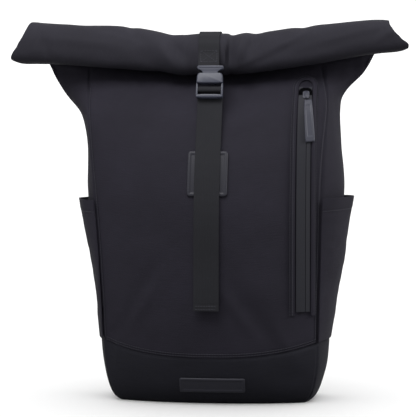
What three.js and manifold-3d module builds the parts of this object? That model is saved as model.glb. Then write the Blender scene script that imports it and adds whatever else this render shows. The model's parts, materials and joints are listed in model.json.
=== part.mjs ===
// A rolltop backpack, standing by itself and rolled shut under one webbing strap.
// Millimetres, +Z up, the front faces -Y, and the origin is the middle of the flat underside.
import * as THREE from "three";
import { mergeVertices } from "three/addons/utils/BufferGeometryUtils.js";
import Module from "manifold-3d";

// Cloth body
const bodyWidth = 311;
const bodyDepth = 150;
const neckHeight = 388;
const neckDepth = 6;
const neckSetback = 7;
const baseHeight = 55.5;
const baseCornerRise = 18;
const wall = 2;
const slotBlendDepth = 14;
const pocketFootRise = 1;
const clearance = 0.3;

// Roll
const rollWidth = 470;
const rollHeight = 51;
const rollDepth = 50;
const rollSag = 16;
const rollSheet = 3;
const rollPitch = 9;
const rollTurns = 1.8;
const rollStartAngle = -28;
const rollLeadLength = 3;
const rollOverhang = 7;
const rollNestle = 0.6;

// Webbing and side-release buckle
const webbingWidth = 29.5;
const webbingThickness = 1.4;
const strapAnchorHeight = 318;
const strapNeckGap = 6;
const tailEndHeight = 112.5;
const tailAnchorHeight = 303;
const tailLandingHeight = 288;
const buckleBarHeight = 367.5;
const buckleWall = 2;
const buckleThickness = 9.2;
const malePlateThickness = 2.3;
const femaleLowerReach = 11;
const femaleUpperReach = 19;
const windowReach = 6.2;
const ladderBarHeight = 3.2;
const maleBarHeight = 3.6;
const maleBarGap = 7.6;
const bodyBack = 3.2;
const frameBack = 1.6;
const frameFront = 3.4;
const barHalfDepth = 1.5;
const webbingRoom = 0.6;
const cavityWall = 1.8;
const sideWall = 2.2;
const barRoot = 0.5;
const buckleTaper = 0.8;
const shoulderDraw = 1.6;
const plateLevel = 0.5;
const plateRoom = 0.7;
const rearBarThickness = 1.6;
const lipRecess = 2;
const lipOverhang = 0.4;
const waistHalf = 9;
const waistJoin = 1;
const tongueTipHalf = 3;
const tongueHalf = 3.4;
const prongInset = 2.4;
const prongWidth = 2.8;
const prongFoot = 3.4;
const cheekGap = 0.1;
const strapNestle = 2;
const tailSetback = 3.05;
const anchorGap = 0.4;
const maleStrapSetback = 0.55;

// Front trim
const patchWidth = 47;
const patchHeight = 52;
const patchMiddleHeight = 271;
const patchThickness = 1.5;
const patchCorner = 4;
const labelWidth = 77;
const labelHeight = 17;
const labelMiddleHeight = 24;
const labelOffset = 5;
const labelThickness = 1.4;
const labelCorner = 2;
const zipOffset = 109.5;
const zipBottomHeight = 110;
const zipNeckGap = 17;
const zipTopHeight = neckHeight - zipNeckGap;
const zipRoom = 1.2;
const zipTapeWidth = 7.3;
const zipGap = 0.6;
const zipThickness = 1.1;
const weltBorder = 4.6;
const weltThickness = 0.9;
const weltArchRise = 13;
const sliderWidth = 9.5;
const sliderLength = 11;
const sliderThickness = 3;
const sliderCorner = 2.5;
const sliderDrop = 4;
const pullWidth = 11;
const pullLength = 48;
const pullThickness = 2;
const pullLean = 3.6;
const pullOffset = 3.2;
const pullGap = 0.7;

// Side pockets
const pocketTopHeight = 243;
const pocketStandOff = 9;
const pocketWall = 1.8;
const pocketSeamGap = 0.15;

// Carrying side
const padThickness = 11;
const padWidth = 64;
const padGap = 40;
const padBottomHeight = 62;
const padTopHeight = 318;
const padEdgeThickness = 1.2;
const padCorner = 16;
const shoulderWidth = 62;
const shoulderThickness = 10;
const shoulderTopHeight = 342;
const shoulderEndHeight = 128;
const shoulderTopSpacing = 98;
const shoulderEndSpacing = 184;
const shoulderBow = 34;
const adjusterWidth = 32;
const adjusterLength = 14;
const adjusterThickness = 4;
const adjusterGap = 3.4;
const lowerAnchorHeight = 30;
const lowerAnchorSpacing = 204;
const anchorReadRise = 10;
const lowerWebbingWidth = 25;
const handleSpan = 84;
const handleReach = 24;
const handleHeight = 366;
const handleWidth = 24;
const handleThickness = 3;

// Shares and powers that set how round, bent or sharp a form is
const baseBendShare = 0.42;
const baseBendPower = 2.6;
const frontRoundness = 2.4;
const backRoundness = 4;
const sideRoundness = 2.2;
const slotInset = 0.375;
const neckShareOfRoll = 0.6426;
const strapTouchShare = 0.52;
const weltRowBunching = 0.8;
const weltLeastShare = 0.06;
const pullEndDraw = 0.12;
const pullEndPower = 6;
const pocketFootShare = 0.25;
const pocketFlarePower = 1.6;
const pocketFootEase = 6;
const pocketRoundness = 0.6;
const padRoundness = 0.6;
const padSidePower = 3;
const padEndPower = 6;
const shoulderSpreadPower = 1.3;
const shoulderBowPower = 0.8;
const shoulderEase = 0.1;
const shoulderEndDraw = 0.35;
const handleRoundness = 2.6;
const leastMitre = 0.18;
const leastBend = 0.5;

// Sections of the cloth body from the floor to the neck. Heights are shares of neckHeight, seams and
// sides are shares of half of bodyWidth, and front and back are shares of bodyDepth.
const BODY_SECTIONS = [
  {
    height: 0, seamLeft: 0.7, seamRight: 0.71, sideLeft: 0.735, sideRight: 0.745,
    front: -0.37, seamFront: -0.24, seamBack: 0.25, back: 0.31, fold: 0,
  },
  {
    height: 0.012, seamLeft: 0.745, seamRight: 0.75, sideLeft: 0.785, sideRight: 0.785,
    front: -0.42, seamFront: -0.275, seamBack: 0.275, back: 0.34, fold: 0,
  },
  {
    height: 0.04, seamLeft: 0.78, seamRight: 0.785, sideLeft: 0.83, sideRight: 0.825,
    front: -0.475, seamFront: -0.305, seamBack: 0.3, back: 0.365, fold: 0,
  },
  {
    height: 0.085, seamLeft: 0.805, seamRight: 0.81, sideLeft: 0.865, sideRight: 0.865,
    front: -0.515, seamFront: -0.325, seamBack: 0.315, back: 0.385, fold: 0,
  },
  {
    height: 0.137, seamLeft: 0.82, seamRight: 0.815, sideLeft: 0.88, sideRight: 0.88,
    front: -0.54, seamFront: -0.33, seamBack: 0.32, back: 0.395, fold: 0,
  },
  {
    height: 0.25, seamLeft: 0.832, seamRight: 0.82, sideLeft: 0.885, sideRight: 0.905,
    front: -0.575, seamFront: -0.335, seamBack: 0.32, back: 0.4, fold: 0,
  },
  {
    height: 0.37, seamLeft: 0.85, seamRight: 0.828, sideLeft: 0.915, sideRight: 0.945,
    front: -0.595, seamFront: -0.335, seamBack: 0.32, back: 0.4, fold: 0,
  },
  {
    height: 0.49, seamLeft: 0.87, seamRight: 0.834, sideLeft: 0.965, sideRight: 0.97,
    front: -0.6, seamFront: -0.33, seamBack: 0.32, back: 0.4, fold: 0,
  },
  {
    height: 0.62, seamLeft: 0.9, seamRight: 0.843, sideLeft: 0.995, sideRight: 0.995,
    front: -0.58, seamFront: -0.315, seamBack: 0.32, back: 0.4, fold: 0,
  },
  {
    height: 0.745, seamLeft: 0.935, seamRight: 0.862, sideLeft: 1, sideRight: 0.975,
    front: -0.505, seamFront: -0.275, seamBack: 0.31, back: 0.385, fold: 0.1,
  },
  {
    height: 0.84, seamLeft: 0.962, seamRight: 0.882, sideLeft: 1.07, sideRight: 0.975,
    front: -0.395, seamFront: -0.205, seamBack: 0.28, back: 0.35, fold: 0.4,
  },
  {
    height: 0.89, seamLeft: 0.972, seamRight: 0.876, sideLeft: 1.18, sideRight: 1.01,
    front: -0.3, seamFront: -0.145, seamBack: 0.25, back: 0.305, fold: 0.7,
  },
  {
    height: 0.955, seamLeft: 0.98, seamRight: 0.838, sideLeft: 1.3, sideRight: 1.19,
    front: -0.12, seamFront: -0.04, seamBack: 0.155, back: 0.175, fold: 1,
  },
  {
    height: 1, seamLeft: 0.985, seamRight: 0.812, sideLeft: 1.35, sideRight: 1.257,
    front: 0.0267, seamFront: 0.0267, seamBack: 0.0667, back: 0.0667, fold: 1,
  },
];

// Top and bottom lines of the roll. Places along it are shares of half of rollWidth, and rises are
// shares of rollSag, above the middle that the strap pulls down.
const ROLL_LINES = [
  { along: -1.02, topRise: 0.94, bottomRise: 0.88 },
  { along: -0.85, topRise: 0.75, bottomRise: 0.84 },
  { along: -0.64, topRise: 0.68, bottomRise: 0.66 },
  { along: -0.43, topRise: 0.5, bottomRise: 0.38 },
  { along: -0.26, topRise: 0.05, bottomRise: 0.19 },
  { along: -0.16, topRise: -0.09, bottomRise: 0.06 },
  { along: -0.07, topRise: 0, bottomRise: 0 },
  { along: 0.07, topRise: 0, bottomRise: 0 },
  { along: 0.17, topRise: 0.02, bottomRise: 0.12 },
  { along: 0.34, topRise: 0.25, bottomRise: 0.44 },
  { along: 0.55, topRise: 0.56, bottomRise: 0.94 },
  { along: 0.81, topRise: 0.92, bottomRise: 1.56 },
  { along: 1.02, topRise: 0.97, bottomRise: 1.9 },
];

// Where the ends of the roll lie, as shares of half of rollWidth, at each share of a turn.
const ROLL_ENDS = [
  { turn: 0, left: 0.868, right: 0.8 },
  { turn: 0.25, left: 0.922, right: 0.856 },
  { turn: 0.35, left: 0.938, right: 0.878 },
  { turn: 0.46, left: 0.952, right: 0.888 },
  { turn: 0.54, left: 0.973, right: 0.912 },
  { turn: 0.58, left: 0.994, right: 0.94 },
  { turn: 0.63, left: 1.02, right: 0.975 },
  { turn: 0.7, left: 1.03, right: 0.978 },
  { turn: 0.76, left: 1, right: 0.955 },
  { turn: 0.85, left: 0.965, right: 0.928 },
  { turn: 1, left: 0.945, right: 0.9 },
  { turn: 1.8, left: 0.94, right: 0.895 },
];

// Dents of the front. Places and spans are shares of bodyWidth and neckHeight, lean is in degrees
// from upright, and depth is a share of bodyDepth, inward.
const FRONT_DENTS = [
  { across: -0.335, up: 0.24, span: 0.028, reach: 0.085, lean: -28, depth: 0.016 },
  { across: -0.39, up: 0.17, span: 0.02, reach: 0.06, lean: 4, depth: 0.009 },
  { across: 0.12, up: 0.29, span: 0.03, reach: 0.09, lean: -40, depth: 0.009 },
  { across: 0.3, up: 0.085, span: 0.07, reach: 0.035, lean: 0, depth: 0.012 },
  { across: -0.2, up: 0.86, span: 0.09, reach: 0.05, lean: 60, depth: 0.014 },
];

const fabric = (name, color, roughness) =>
  new THREE.MeshStandardMaterial({ name, color, roughness, metalness: 0 });
const clothMaterial = fabric("body_cloth", 0x2b2b30, 0.85);
const rollMaterial = fabric("roll_cloth", 0x3a393f, 0.82);
const baseMaterial = fabric("base_cloth", 0x202025, 0.8);
const webbingMaterial = fabric("webbing", 0x2c2c30, 0.75);
const rubberMaterial = fabric("rubber_patch", 0x37373e, 0.6);
const zipMaterial = fabric("coated_zip", 0x303035, 0.45);
const plasticMaterial = fabric("buckle_plastic", 0x62646e, 0.4);
const pullMaterial = fabric("pull_rubber", 0x4c4e59, 0.55);
const meshMaterial = fabric("spacer_mesh", 0x232327, 0.9);

const lerp = THREE.MathUtils.lerp;
const clamp = THREE.MathUtils.clamp;
const radians = THREE.MathUtils.degToRad;

const wasm = await Module();
wasm.setup();

// Reads one column of a table at a place between its rows, as a smooth curve through the rows.
function readTable(rows, key, column, at) {
  const last = rows.length - 1;
  let i = rows.findIndex((row) => row[key] > at) - 1;
  if (i < 0) i = at <= rows[0][key] ? 0 : last - 1;
  const slope = (k) => {
    const a = rows[Math.max(k - 1, 0)];
    const b = rows[Math.min(k + 1, last)];
    return (b[column] - a[column]) / (b[key] - a[key]);
  };
  const from = rows[i];
  const to = rows[i + 1];
  const span = to[key] - from[key];
  const s = clamp((at - from[key]) / span, 0, 1);
  const s2 = s * s;
  const s3 = s2 * s;
  return (
    (2 * s3 - 3 * s2 + 1) * from[column] +
    (s3 - 2 * s2 + s) * span * slope(i) +
    (3 * s2 - 2 * s3) * to[column] +
    (s3 - s2) * span * slope(i + 1)
  );
}

// The lines of the roll, and the seams that the body's height follows.
const rollHalf = rollWidth / 2;
const rollBottom = neckHeight - 2 * clearance - rollSheet + rollNestle;
const rollLine = (column, x) => rollSag * readTable(ROLL_LINES, "along", column, x / rollHalf);
const rollTopAt = (x) => rollBottom + rollHeight + rollLine("topRise", x);
const rollBottomAt = (x) => rollBottom + rollLine("bottomRise", x);
const neckHeightAt = (x) => neckHeight + rollLine("bottomRise", x);
const baseBendHalf = baseBendShare * bodyWidth;
const baseSeamAt = (x) =>
  baseHeight + baseCornerRise * Math.min(1, Math.abs(x / baseBendHalf)) ** baseBendPower;

// The body's section at a height measured on its middle line.
function bodySection(height) {
  const share = height / neckHeight;
  const read = (column) => readTable(BODY_SECTIONS, "height", column, share);
  const half = bodyWidth / 2;
  const fold = clamp(read("fold"), 0, 1);
  const sideHalf = lerp(half, neckShareOfRoll * rollHalf, fold);
  const atNeck = share > 0.999;
  const depthOf = (column, side) =>
    atNeck ? neckSetback + (side * neckDepth) / 2 : read(column) * bodyDepth;
  return {
    seamLeft: -read("seamLeft") * half,
    seamRight: read("seamRight") * half,
    sideLeft: -read("sideLeft") * sideHalf,
    sideRight: read("sideRight") * sideHalf,
    front: depthOf("front", -1),
    seamFront: depthOf("seamFront", -1),
    seamBack: depthOf("seamBack", 1),
    back: depthOf("back", 1),
    fold,
  };
}

// The real height of a point whose height on the middle line is given.
function heightAt(height, x) {
  if (height <= baseHeight) return (height / baseHeight) * baseSeamAt(x);
  const share = (height - baseHeight) / (neckHeight - baseHeight);
  return lerp(baseSeamAt(x), neckHeightAt(x), share);
}

// The height on the middle line of a point with the given real height.
function middleHeight(z, x) {
  const seam = baseSeamAt(x);
  if (z <= seam) return (z / seam) * baseHeight;
  return lerp(baseHeight, neckHeight, (z - seam) / (neckHeightAt(x) - seam));
}

function frontDent(x, z) {
  let depth = 0;
  for (const dent of FRONT_DENTS) {
    const dx = x - dent.across * bodyWidth;
    const dz = z - dent.up * neckHeight;
    const lean = radians(dent.lean);
    const a = (dx * Math.cos(lean) + dz * Math.sin(lean)) / (dent.span * bodyWidth);
    const b = (dz * Math.cos(lean) - dx * Math.sin(lean)) / (dent.reach * neckHeight);
    depth += dent.depth * bodyDepth * Math.exp(-a * a - b * b);
  }
  return depth;
}

// Depth of the front and of the back over a point given by its place across and its real height.
function faceDepth(middle, edge, roundness, x, section) {
  const centre = (section.seamLeft + section.seamRight) / 2;
  const half = (section.seamRight - section.seamLeft) / 2;
  const share = Math.min(1, Math.abs((x - centre) / half));
  return middle + (edge - middle) * share ** roundness;
}

function frontDepth(x, z) {
  const section = bodySection(middleHeight(z, x));
  return faceDepth(section.front, section.seamFront, frontRoundness, x, section) + frontDent(x, z);
}

function backDepth(x, z) {
  const section = bodySection(middleHeight(z, x));
  return faceDepth(section.back, section.seamBack, backRoundness, x, section);
}

const frontColumns = 16;
const sideColumns = 8;
const backColumns = 10;

// Points of the outer loop at one height, anticlockwise from the left front seam seen from above.
function outerLoop(height) {
  const section = bodySection(height);
  const points = [];
  const push = (x, y) => points.push(new THREE.Vector3(x, y, heightAt(height, x)));
  const spread = (k, count) => {
    const s = (2 * k) / count - 1;
    return 0.55 * s + 0.45 * Math.sin((s * Math.PI) / 2);
  };
  const centre = (section.seamLeft + section.seamRight) / 2;
  const half = (section.seamRight - section.seamLeft) / 2;
  for (let k = 0; k < frontColumns; k++) {
    const x = centre + half * spread(k, frontColumns);
    const y = faceDepth(section.front, section.seamFront, frontRoundness, x, section);
    push(x, y + frontDent(x, heightAt(height, x)) * (1 - section.fold));
  }
  for (let k = 0; k < sideColumns; k++) {
    const p = sidePoint(section, section.seamRight, section.sideRight, k / sideColumns);
    push(p.x, p.y);
  }
  for (let k = 0; k < backColumns; k++) {
    const x = centre - half * spread(k, backColumns);
    push(x, faceDepth(section.back, section.seamBack, backRoundness, x, section));
  }
  for (let k = 0; k < sideColumns; k++) {
    const p = sidePoint(section, section.seamLeft, section.sideLeft, 1 - k / sideColumns);
    push(p.x, p.y);
  }
  return points;
}

// A point of a side panel, from its front seam at 0 to its back seam at 1. Low down it is round,
// and towards the neck it folds to a sharp wedge and closes to a slot.
function sidePoint(section, seam, side, share) {
  const away = Math.abs(2 * share - 1);
  const reach = lerp(1 - away ** sideRoundness, 1 - away, section.fold);
  const depth = section.seamBack - section.seamFront;
  const slot = clamp(1 - (depth - neckDepth) / slotBlendDepth, 0, 1);
  const slotShare = clamp((share - slotInset) / (1 - 2 * slotInset), 0, 1);
  const across = lerp(share, slotShare, slot);
  return { x: seam + (side - seam) * reach, y: section.seamFront + depth * across };
}

// The loop of one height moved inward by a distance, with mitred corners.
function insetLoop(loop, distance, height) {
  const count = loop.length;
  return loop.map((p, i) => {
    const a = loop[(i + count - 1) % count];
    const b = loop[(i + 1) % count];
    const before = new THREE.Vector2(p.x - a.x, p.y - a.y).normalize();
    const after = new THREE.Vector2(b.x - p.x, b.y - p.y).normalize();
    const bisector = new THREE.Vector2(-before.y - after.y, before.x + after.x);
    const cosine = Math.max(leastMitre, bisector.length() / 2);
    bisector.normalize().multiplyScalar(distance / cosine);
    const x = p.x + bisector.x;
    return new THREE.Vector3(x, p.y + bisector.y, heightAt(height, x));
  });
}

// A closed solid between two grids of points with the same rows and columns: top looks outward.
function slab(outer, inner) {
  const rows = outer.length;
  const columns = outer[0].length;
  const positions = [];
  const index = [];
  for (const grid of [outer, inner])
    for (const row of grid) for (const p of row) positions.push(p.x, p.y, p.z);
  const at = (side, r, c) => (side * rows + r) * columns + c;
  const quad = (a, b, c, d) => index.push(a, b, c, a, c, d);
  for (let r = 0; r < rows - 1; r++)
    for (let c = 0; c < columns - 1; c++) {
      quad(at(0, r, c), at(0, r, c + 1), at(0, r + 1, c + 1), at(0, r + 1, c));
      quad(at(1, r, c), at(1, r + 1, c), at(1, r + 1, c + 1), at(1, r, c + 1));
    }
  for (let c = 0; c < columns - 1; c++) {
    quad(at(0, 0, c), at(1, 0, c), at(1, 0, c + 1), at(0, 0, c + 1));
    quad(at(0, rows - 1, c), at(0, rows - 1, c + 1), at(1, rows - 1, c + 1), at(1, rows - 1, c));
  }
  for (let r = 0; r < rows - 1; r++) {
    quad(at(0, r, 0), at(0, r + 1, 0), at(1, r + 1, 0), at(1, r, 0));
    const end = columns - 1;
    quad(at(0, r, end), at(1, r, end), at(1, r + 1, end), at(0, r + 1, end));
  }
  const geometry = new THREE.BufferGeometry();
  geometry.setAttribute("position", new THREE.Float32BufferAttribute(positions, 3));
  geometry.setIndex(index);
  return faceOut(geometry);
}

// Turns a closed geometry's triangles round where they look inward.
function faceOut(geometry) {
  const p = geometry.getAttribute("position");
  const index = geometry.getIndex().array;
  const corner = [new THREE.Vector3(), new THREE.Vector3(), new THREE.Vector3()];
  let volume = 0;
  for (let i = 0; i < index.length; i += 3) {
    for (let k = 0; k < 3; k++) corner[k].fromBufferAttribute(p, index[i + k]);
    volume += corner[0].dot(corner[1].cross(corner[2]));
  }
  if (volume < 0)
    for (let i = 0; i < index.length; i += 3) {
      const swap = index[i];
      index[i] = index[i + 1];
      index[i + 1] = swap;
    }
  geometry.computeVertexNormals();
  return geometry;
}

const backpack = new THREE.Group();

function addPiece(name, geometry, material) {
  const mesh = new THREE.Mesh(geometry, material);
  mesh.name = name;
  backpack.add(mesh);
  return mesh;
}

// Heights of the rows, on the middle line, of the two tiers of panels.
const baseRowShares = [0, 0.012, 0.04, 0.085];
const upperRowShares = [
  0.19, 0.25, 0.31, 0.37, 0.43, 0.49, 0.555, 0.62, 0.685, 0.745, 0.795, 0.84, 0.89, 0.925, 0.955, 0.98, 1,
];
const toHeight = (share) => share * neckHeight;
const baseRows = [...baseRowShares.map(toHeight), baseHeight - clearance / 2];
const upperRows = [baseHeight + clearance / 2, ...upperRowShares.map(toHeight)];

// One panel: the columns of every loop from one seam to the next, drawn back from both seams.
function panel(rows, first, count) {
  const take = (loop) => {
    const line = [];
    for (let k = 0; k <= count; k++) line.push(loop[(first + k) % loop.length].clone());
    const pull = (from, to) => from.add(to.clone().sub(from).setLength(clearance / 2));
    pull(line[0], line[1]);
    pull(line[count], line[count - 1]);
    return line;
  };
  const outer = rows.map((height) => take(outerLoop(height)));
  const inner = rows.map((height) => take(insetLoop(outerLoop(height), wall, height)));
  return slab(outer, inner);
}

const PANELS = [
  { name: "front", first: 0, count: frontColumns },
  { name: "right_side", first: frontColumns, count: sideColumns },
  { name: "back", first: frontColumns + sideColumns, count: backColumns },
  { name: "left_side", first: frontColumns + sideColumns + backColumns, count: sideColumns },
];
for (const { name, first, count } of PANELS) {
  addPiece(`${name}_panel`, panel(upperRows, first, count), clothMaterial);
  addPiece(`${name}_base_panel`, panel(baseRows, first, count), baseMaterial);
}

// The flat floor, inside the lower edge of the base panels.
function floorPanel() {
  const loop = insetLoop(outerLoop(0), wall + clearance, 0);
  const shape = new THREE.Shape(loop.map((p) => new THREE.Vector2(p.x, p.y)));
  return new THREE.ExtrudeGeometry(shape, { depth: wall, bevelEnabled: false });
}
addPiece("floor_panel", floorPanel(), baseMaterial);

// The rolled top: one doubled sheet that rises behind, goes over the top and down the front, and
// winds inward. Each station is a share of a turn, from the neck on.
const rollMiddleDepth = -rollDepth / 2 + neckSetback + rollOverhang;
const rollSteps = 25;

function rollPathAt(x) {
  const top = rollTopAt(x);
  const bottom = rollBottomAt(x);
  const turnShrink = (angle) => (rollPitch * (angle - rollStartAngle)) / 360;
  const halfHeight = (top - bottom - rollSheet + turnShrink(90) + turnShrink(270)) / 2;
  const middle = top - rollSheet / 2 - halfHeight + turnShrink(90);
  const halfDepth = (rollDepth - rollSheet + turnShrink(0) + turnShrink(180)) / 2;
  const path = [0, rollLeadLength].map(
    (rise) => new THREE.Vector2(neckSetback, neckHeightAt(x) + 2 * clearance + rise),
  );
  for (let k = 0; k <= rollSteps; k++) {
    const angle = rollStartAngle + (rollTurns * 360 * k) / rollSteps;
    const shrink = turnShrink(angle);
    path.push(
      new THREE.Vector2(
        rollMiddleDepth + (halfDepth - shrink) * Math.cos(radians(angle)),
        middle + (halfHeight - shrink) * Math.sin(radians(angle)),
      ),
    );
  }
  return path;
}

// Both sides of a line in a plane, half of a thickness away, with mitred bends.
function offsetPath(path, distance) {
  return path.map((p, i) => {
    const a = path[Math.max(i - 1, 0)];
    const b = path[Math.min(i + 1, path.length - 1)];
    const before = p.clone().sub(i ? a : p);
    const after = b.clone().sub(i < path.length - 1 ? p : b);
    if (!i) before.copy(after);
    if (i === path.length - 1) after.copy(before);
    before.normalize();
    after.normalize();
    const normal = new THREE.Vector2(-before.y - after.y, before.x + after.x);
    const cosine = Math.max(leastBend, normal.length() / 2);
    return p.clone().add(normal.normalize().multiplyScalar(distance / cosine));
  });
}

const rollColumns = [
  -1, -0.93, -0.84, -0.72, -0.6, -0.48, -0.36, -0.25, -0.16, -0.075, 0.075, 0.17, 0.28, 0.4, 0.52, 0.64, 0.76,
  0.88, 1,
];
function rollGeometry() {
  const outer = [];
  const inner = [];
  for (const column of rollColumns) {
    const side = column < 0 ? "left" : "right";
    const xs = [];
    for (let k = 0; k < rollSteps + 3; k++) {
      const turn = (Math.max(k - 2, 0) / rollSteps) * rollTurns;
      xs.push(column * rollHalf * readTable(ROLL_ENDS, "turn", side, turn));
    }
    const at = (sign) =>
      xs.map((x, k) => {
        const p = offsetPath(rollPathAt(x), (sign * rollSheet) / 2)[k];
        return new THREE.Vector3(x, p.x, p.y);
      });
    outer.push(at(-1));
    inner.push(at(1));
  }
  return slab(outer, inner);
}
addPiece("roll", rollGeometry(), rollMaterial);

// A band of one width along a path given as depth and height, lying across the object's width.
function band(path, width, thickness, offset = 0) {
  const side = (sign) =>
    offsetPath(path, (sign * thickness) / 2).map((p) => [
      new THREE.Vector3(offset - width / 2, p.x, p.y),
      new THREE.Vector3(offset + width / 2, p.x, p.y),
    ]);
  return slab(side(1), side(-1));
}

// The buckle lies on a straight line from the roll's front to the landing of the tail on the patch.
const webbingLift = clearance + webbingThickness / 2;
const tailLift = 3 * clearance + patchThickness + webbingThickness / 2;
const landing = new THREE.Vector2(frontDepth(0, tailLandingHeight) - tailLift, tailLandingHeight);
const rollFront = new THREE.Vector2(
  rollMiddleDepth - rollDepth / 2 - webbingLift + strapNestle,
  rollBottom + strapTouchShare * rollHeight,
);
const strapUp = rollFront.clone().sub(landing).normalize();
const strapOut = new THREE.Vector2(-strapUp.y, strapUp.x);
const tailLevel = -tailSetback;
const anchorLevel = tailLevel - webbingThickness - anchorGap;
const barOrigin = landing
  .clone()
  .add(strapUp.clone().multiplyScalar((buckleBarHeight - landing.y) / strapUp.y))
  .sub(strapOut.clone().multiplyScalar(tailLevel));
const onBuckle = (up, out) =>
  barOrigin.clone().add(strapUp.clone().multiplyScalar(up)).add(strapOut.clone().multiplyScalar(out));
const frontPoint = (z, lift) => new THREE.Vector2(frontDepth(0, z) - lift, z);

// Bends of the lower webbing round the ladder bar, from behind the bar over its top to its front and
// down. Along is past the bar's edge on that side, and out is forward, both as shares of webbingLift.
const LADDER_BENDS = [
  { side: 1, along: 0.7, out: -2.7 },
  { side: 1, along: 1.5, out: -0.7 },
  { side: 1, along: 1.4, out: 1.6 },
  { side: 1, along: -0.1, out: 2.9 },
  { side: -1, along: -0.1, out: 2.9 },
  { side: -1, along: 1.4, out: 1.6 },
  { side: -1, along: 1.2, out: -0.2 },
];

// Bends of the closing strap round the male end's bar. Back is the share of the way from the strap's
// front level to its rear level, and along is past the bar's edge, in shares of webbingLift.
const MALE_BENDS = [
  { side: 1, along: 3, back: 0.014 },
  { side: -1, along: -0.6, back: 0 },
  { side: -1, along: 1.2, back: 0.137 },
  { side: -1, along: 1.9, back: 0.5 },
  { side: -1, along: 1.2, back: 0.89 },
  { side: -1, along: -0.6, back: 1 },
  { side: 1, along: 0, back: 1 },
  { side: 1, along: 4, back: 0.548 },
];

// How far the lower webbing runs beyond the frame's windows and edges before it bends.
const anchorRun = 9;
const frameRun = 3;
const tailRun = 4;
const landingRun = 8;
const windowRun = 0.4;
const tailStart = 6;

// Lower webbing: sewn to the front above the patch, up behind the buckle, over its ladder bar and
// back through it, then down in front of the patch as a free tail.
function tailPath() {
  const half = ladderBarHeight / 2;
  const path = [
    frontPoint(tailAnchorHeight, webbingLift),
    frontPoint(tailAnchorHeight + anchorRun, webbingLift),
    onBuckle(-femaleLowerReach - frameRun, anchorLevel),
    onBuckle(0, anchorLevel + clearance),
    ...LADDER_BENDS.map(({ side, along, out }) =>
      onBuckle(side * (half + along * webbingLift), out * webbingLift),
    ),
    onBuckle(-windowReach - windowRun, tailLevel),
    onBuckle(-femaleLowerReach - tailRun, tailLevel),
    landing.clone().add(strapUp.clone().multiplyScalar(landingRun)),
  ];
  const rows = 12;
  let depth = Infinity;
  for (let k = 0; k <= rows; k++) {
    const z = lerp(tailLandingHeight - tailStart, tailEndHeight, k / rows);
    const point = frontPoint(z, tailLift);
    depth = Math.min(depth, point.x);
    path.push(new THREE.Vector2(depth, z));
  }
  return path;
}
addPiece("lower_strap", band(tailPath(), webbingWidth, webbingThickness), webbingMaterial);

// Closing strap: sewn to the back, up over the roll, down its front and round the male end's bar.
const maleBarUp = femaleUpperReach + maleBarGap;
const strapFrontLevel = -maleStrapSetback;
const strapRearLevel = -bodyBack - webbingLift;
function strapPath() {
  const path = [];
  const backRows = 10;
  const firstStation = 3;
  const lastStation = 10;
  for (let k = 0; k <= backRows; k++) {
    const z = lerp(strapAnchorHeight, neckHeight - strapNeckGap, k / backRows);
    path.push(new THREE.Vector2(backDepth(0, z) + webbingLift + 2 * clearance, z));
  }
  const rollOuter = offsetPath(rollPathAt(0), -(rollSheet / 2 + webbingLift + clearance));
  path.push(...rollOuter.slice(firstStation, lastStation), rollFront);
  for (const { side, along, back } of MALE_BENDS) {
    const up = maleBarUp + side * (maleBarHeight / 2 + along * webbingLift);
    path.push(onBuckle(up, lerp(strapFrontLevel, strapRearLevel, back)));
  }
  return path;
}
addPiece("closing_strap", band(strapPath(), webbingWidth, webbingThickness), webbingMaterial);

function solidOf(geometry) {
  const bare = geometry.index ? geometry.toNonIndexed() : geometry.clone();
  bare.deleteAttribute("normal");
  bare.deleteAttribute("uv");
  const merged = mergeVertices(bare, 1e-4);
  return new wasm.Manifold(
    new wasm.Mesh({
      numProp: 3,
      vertProperties: merged.attributes.position.array,
      triVerts: new Uint32Array(merged.index.array),
    }),
  );
}

function geometryOf(solid) {
  const mesh = solid.getMesh();
  const geometry = new THREE.BufferGeometry();
  geometry.setAttribute("position", new THREE.Float32BufferAttribute(mesh.vertProperties, 3));
  geometry.setIndex(Array.from(mesh.triVerts));
  geometry.computeVertexNormals();
  return geometry;
}

// A plate in the buckle's own frame: outline across and up, and its two levels out of the plane.
function plate(outline, low, high) {
  const shape = new THREE.Shape(outline.map(([across, up]) => new THREE.Vector2(across, up)));
  const geometry = new THREE.ExtrudeGeometry(shape, { depth: high - low, bevelEnabled: false });
  return solidOf(geometry.translate(0, 0, low));
}
const block = (left, right, bottom, top, low, high) =>
  plate([[left, bottom], [right, bottom], [right, top], [left, top]], low, high);
const mirrored = (half) => half.concat(half.map(([across, up]) => [-across, up]).reverse());

const windowHalf = webbingWidth / 2 + webbingRoom;
const buckleHalf = windowHalf + buckleWall;
const bodyLow = -bodyBack;
const bodyHigh = bodyLow + buckleThickness;
const plateLow = plateLevel;
const plateHigh = plateLow + malePlateThickness;
const beyond = 3 * buckleHalf;

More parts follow.
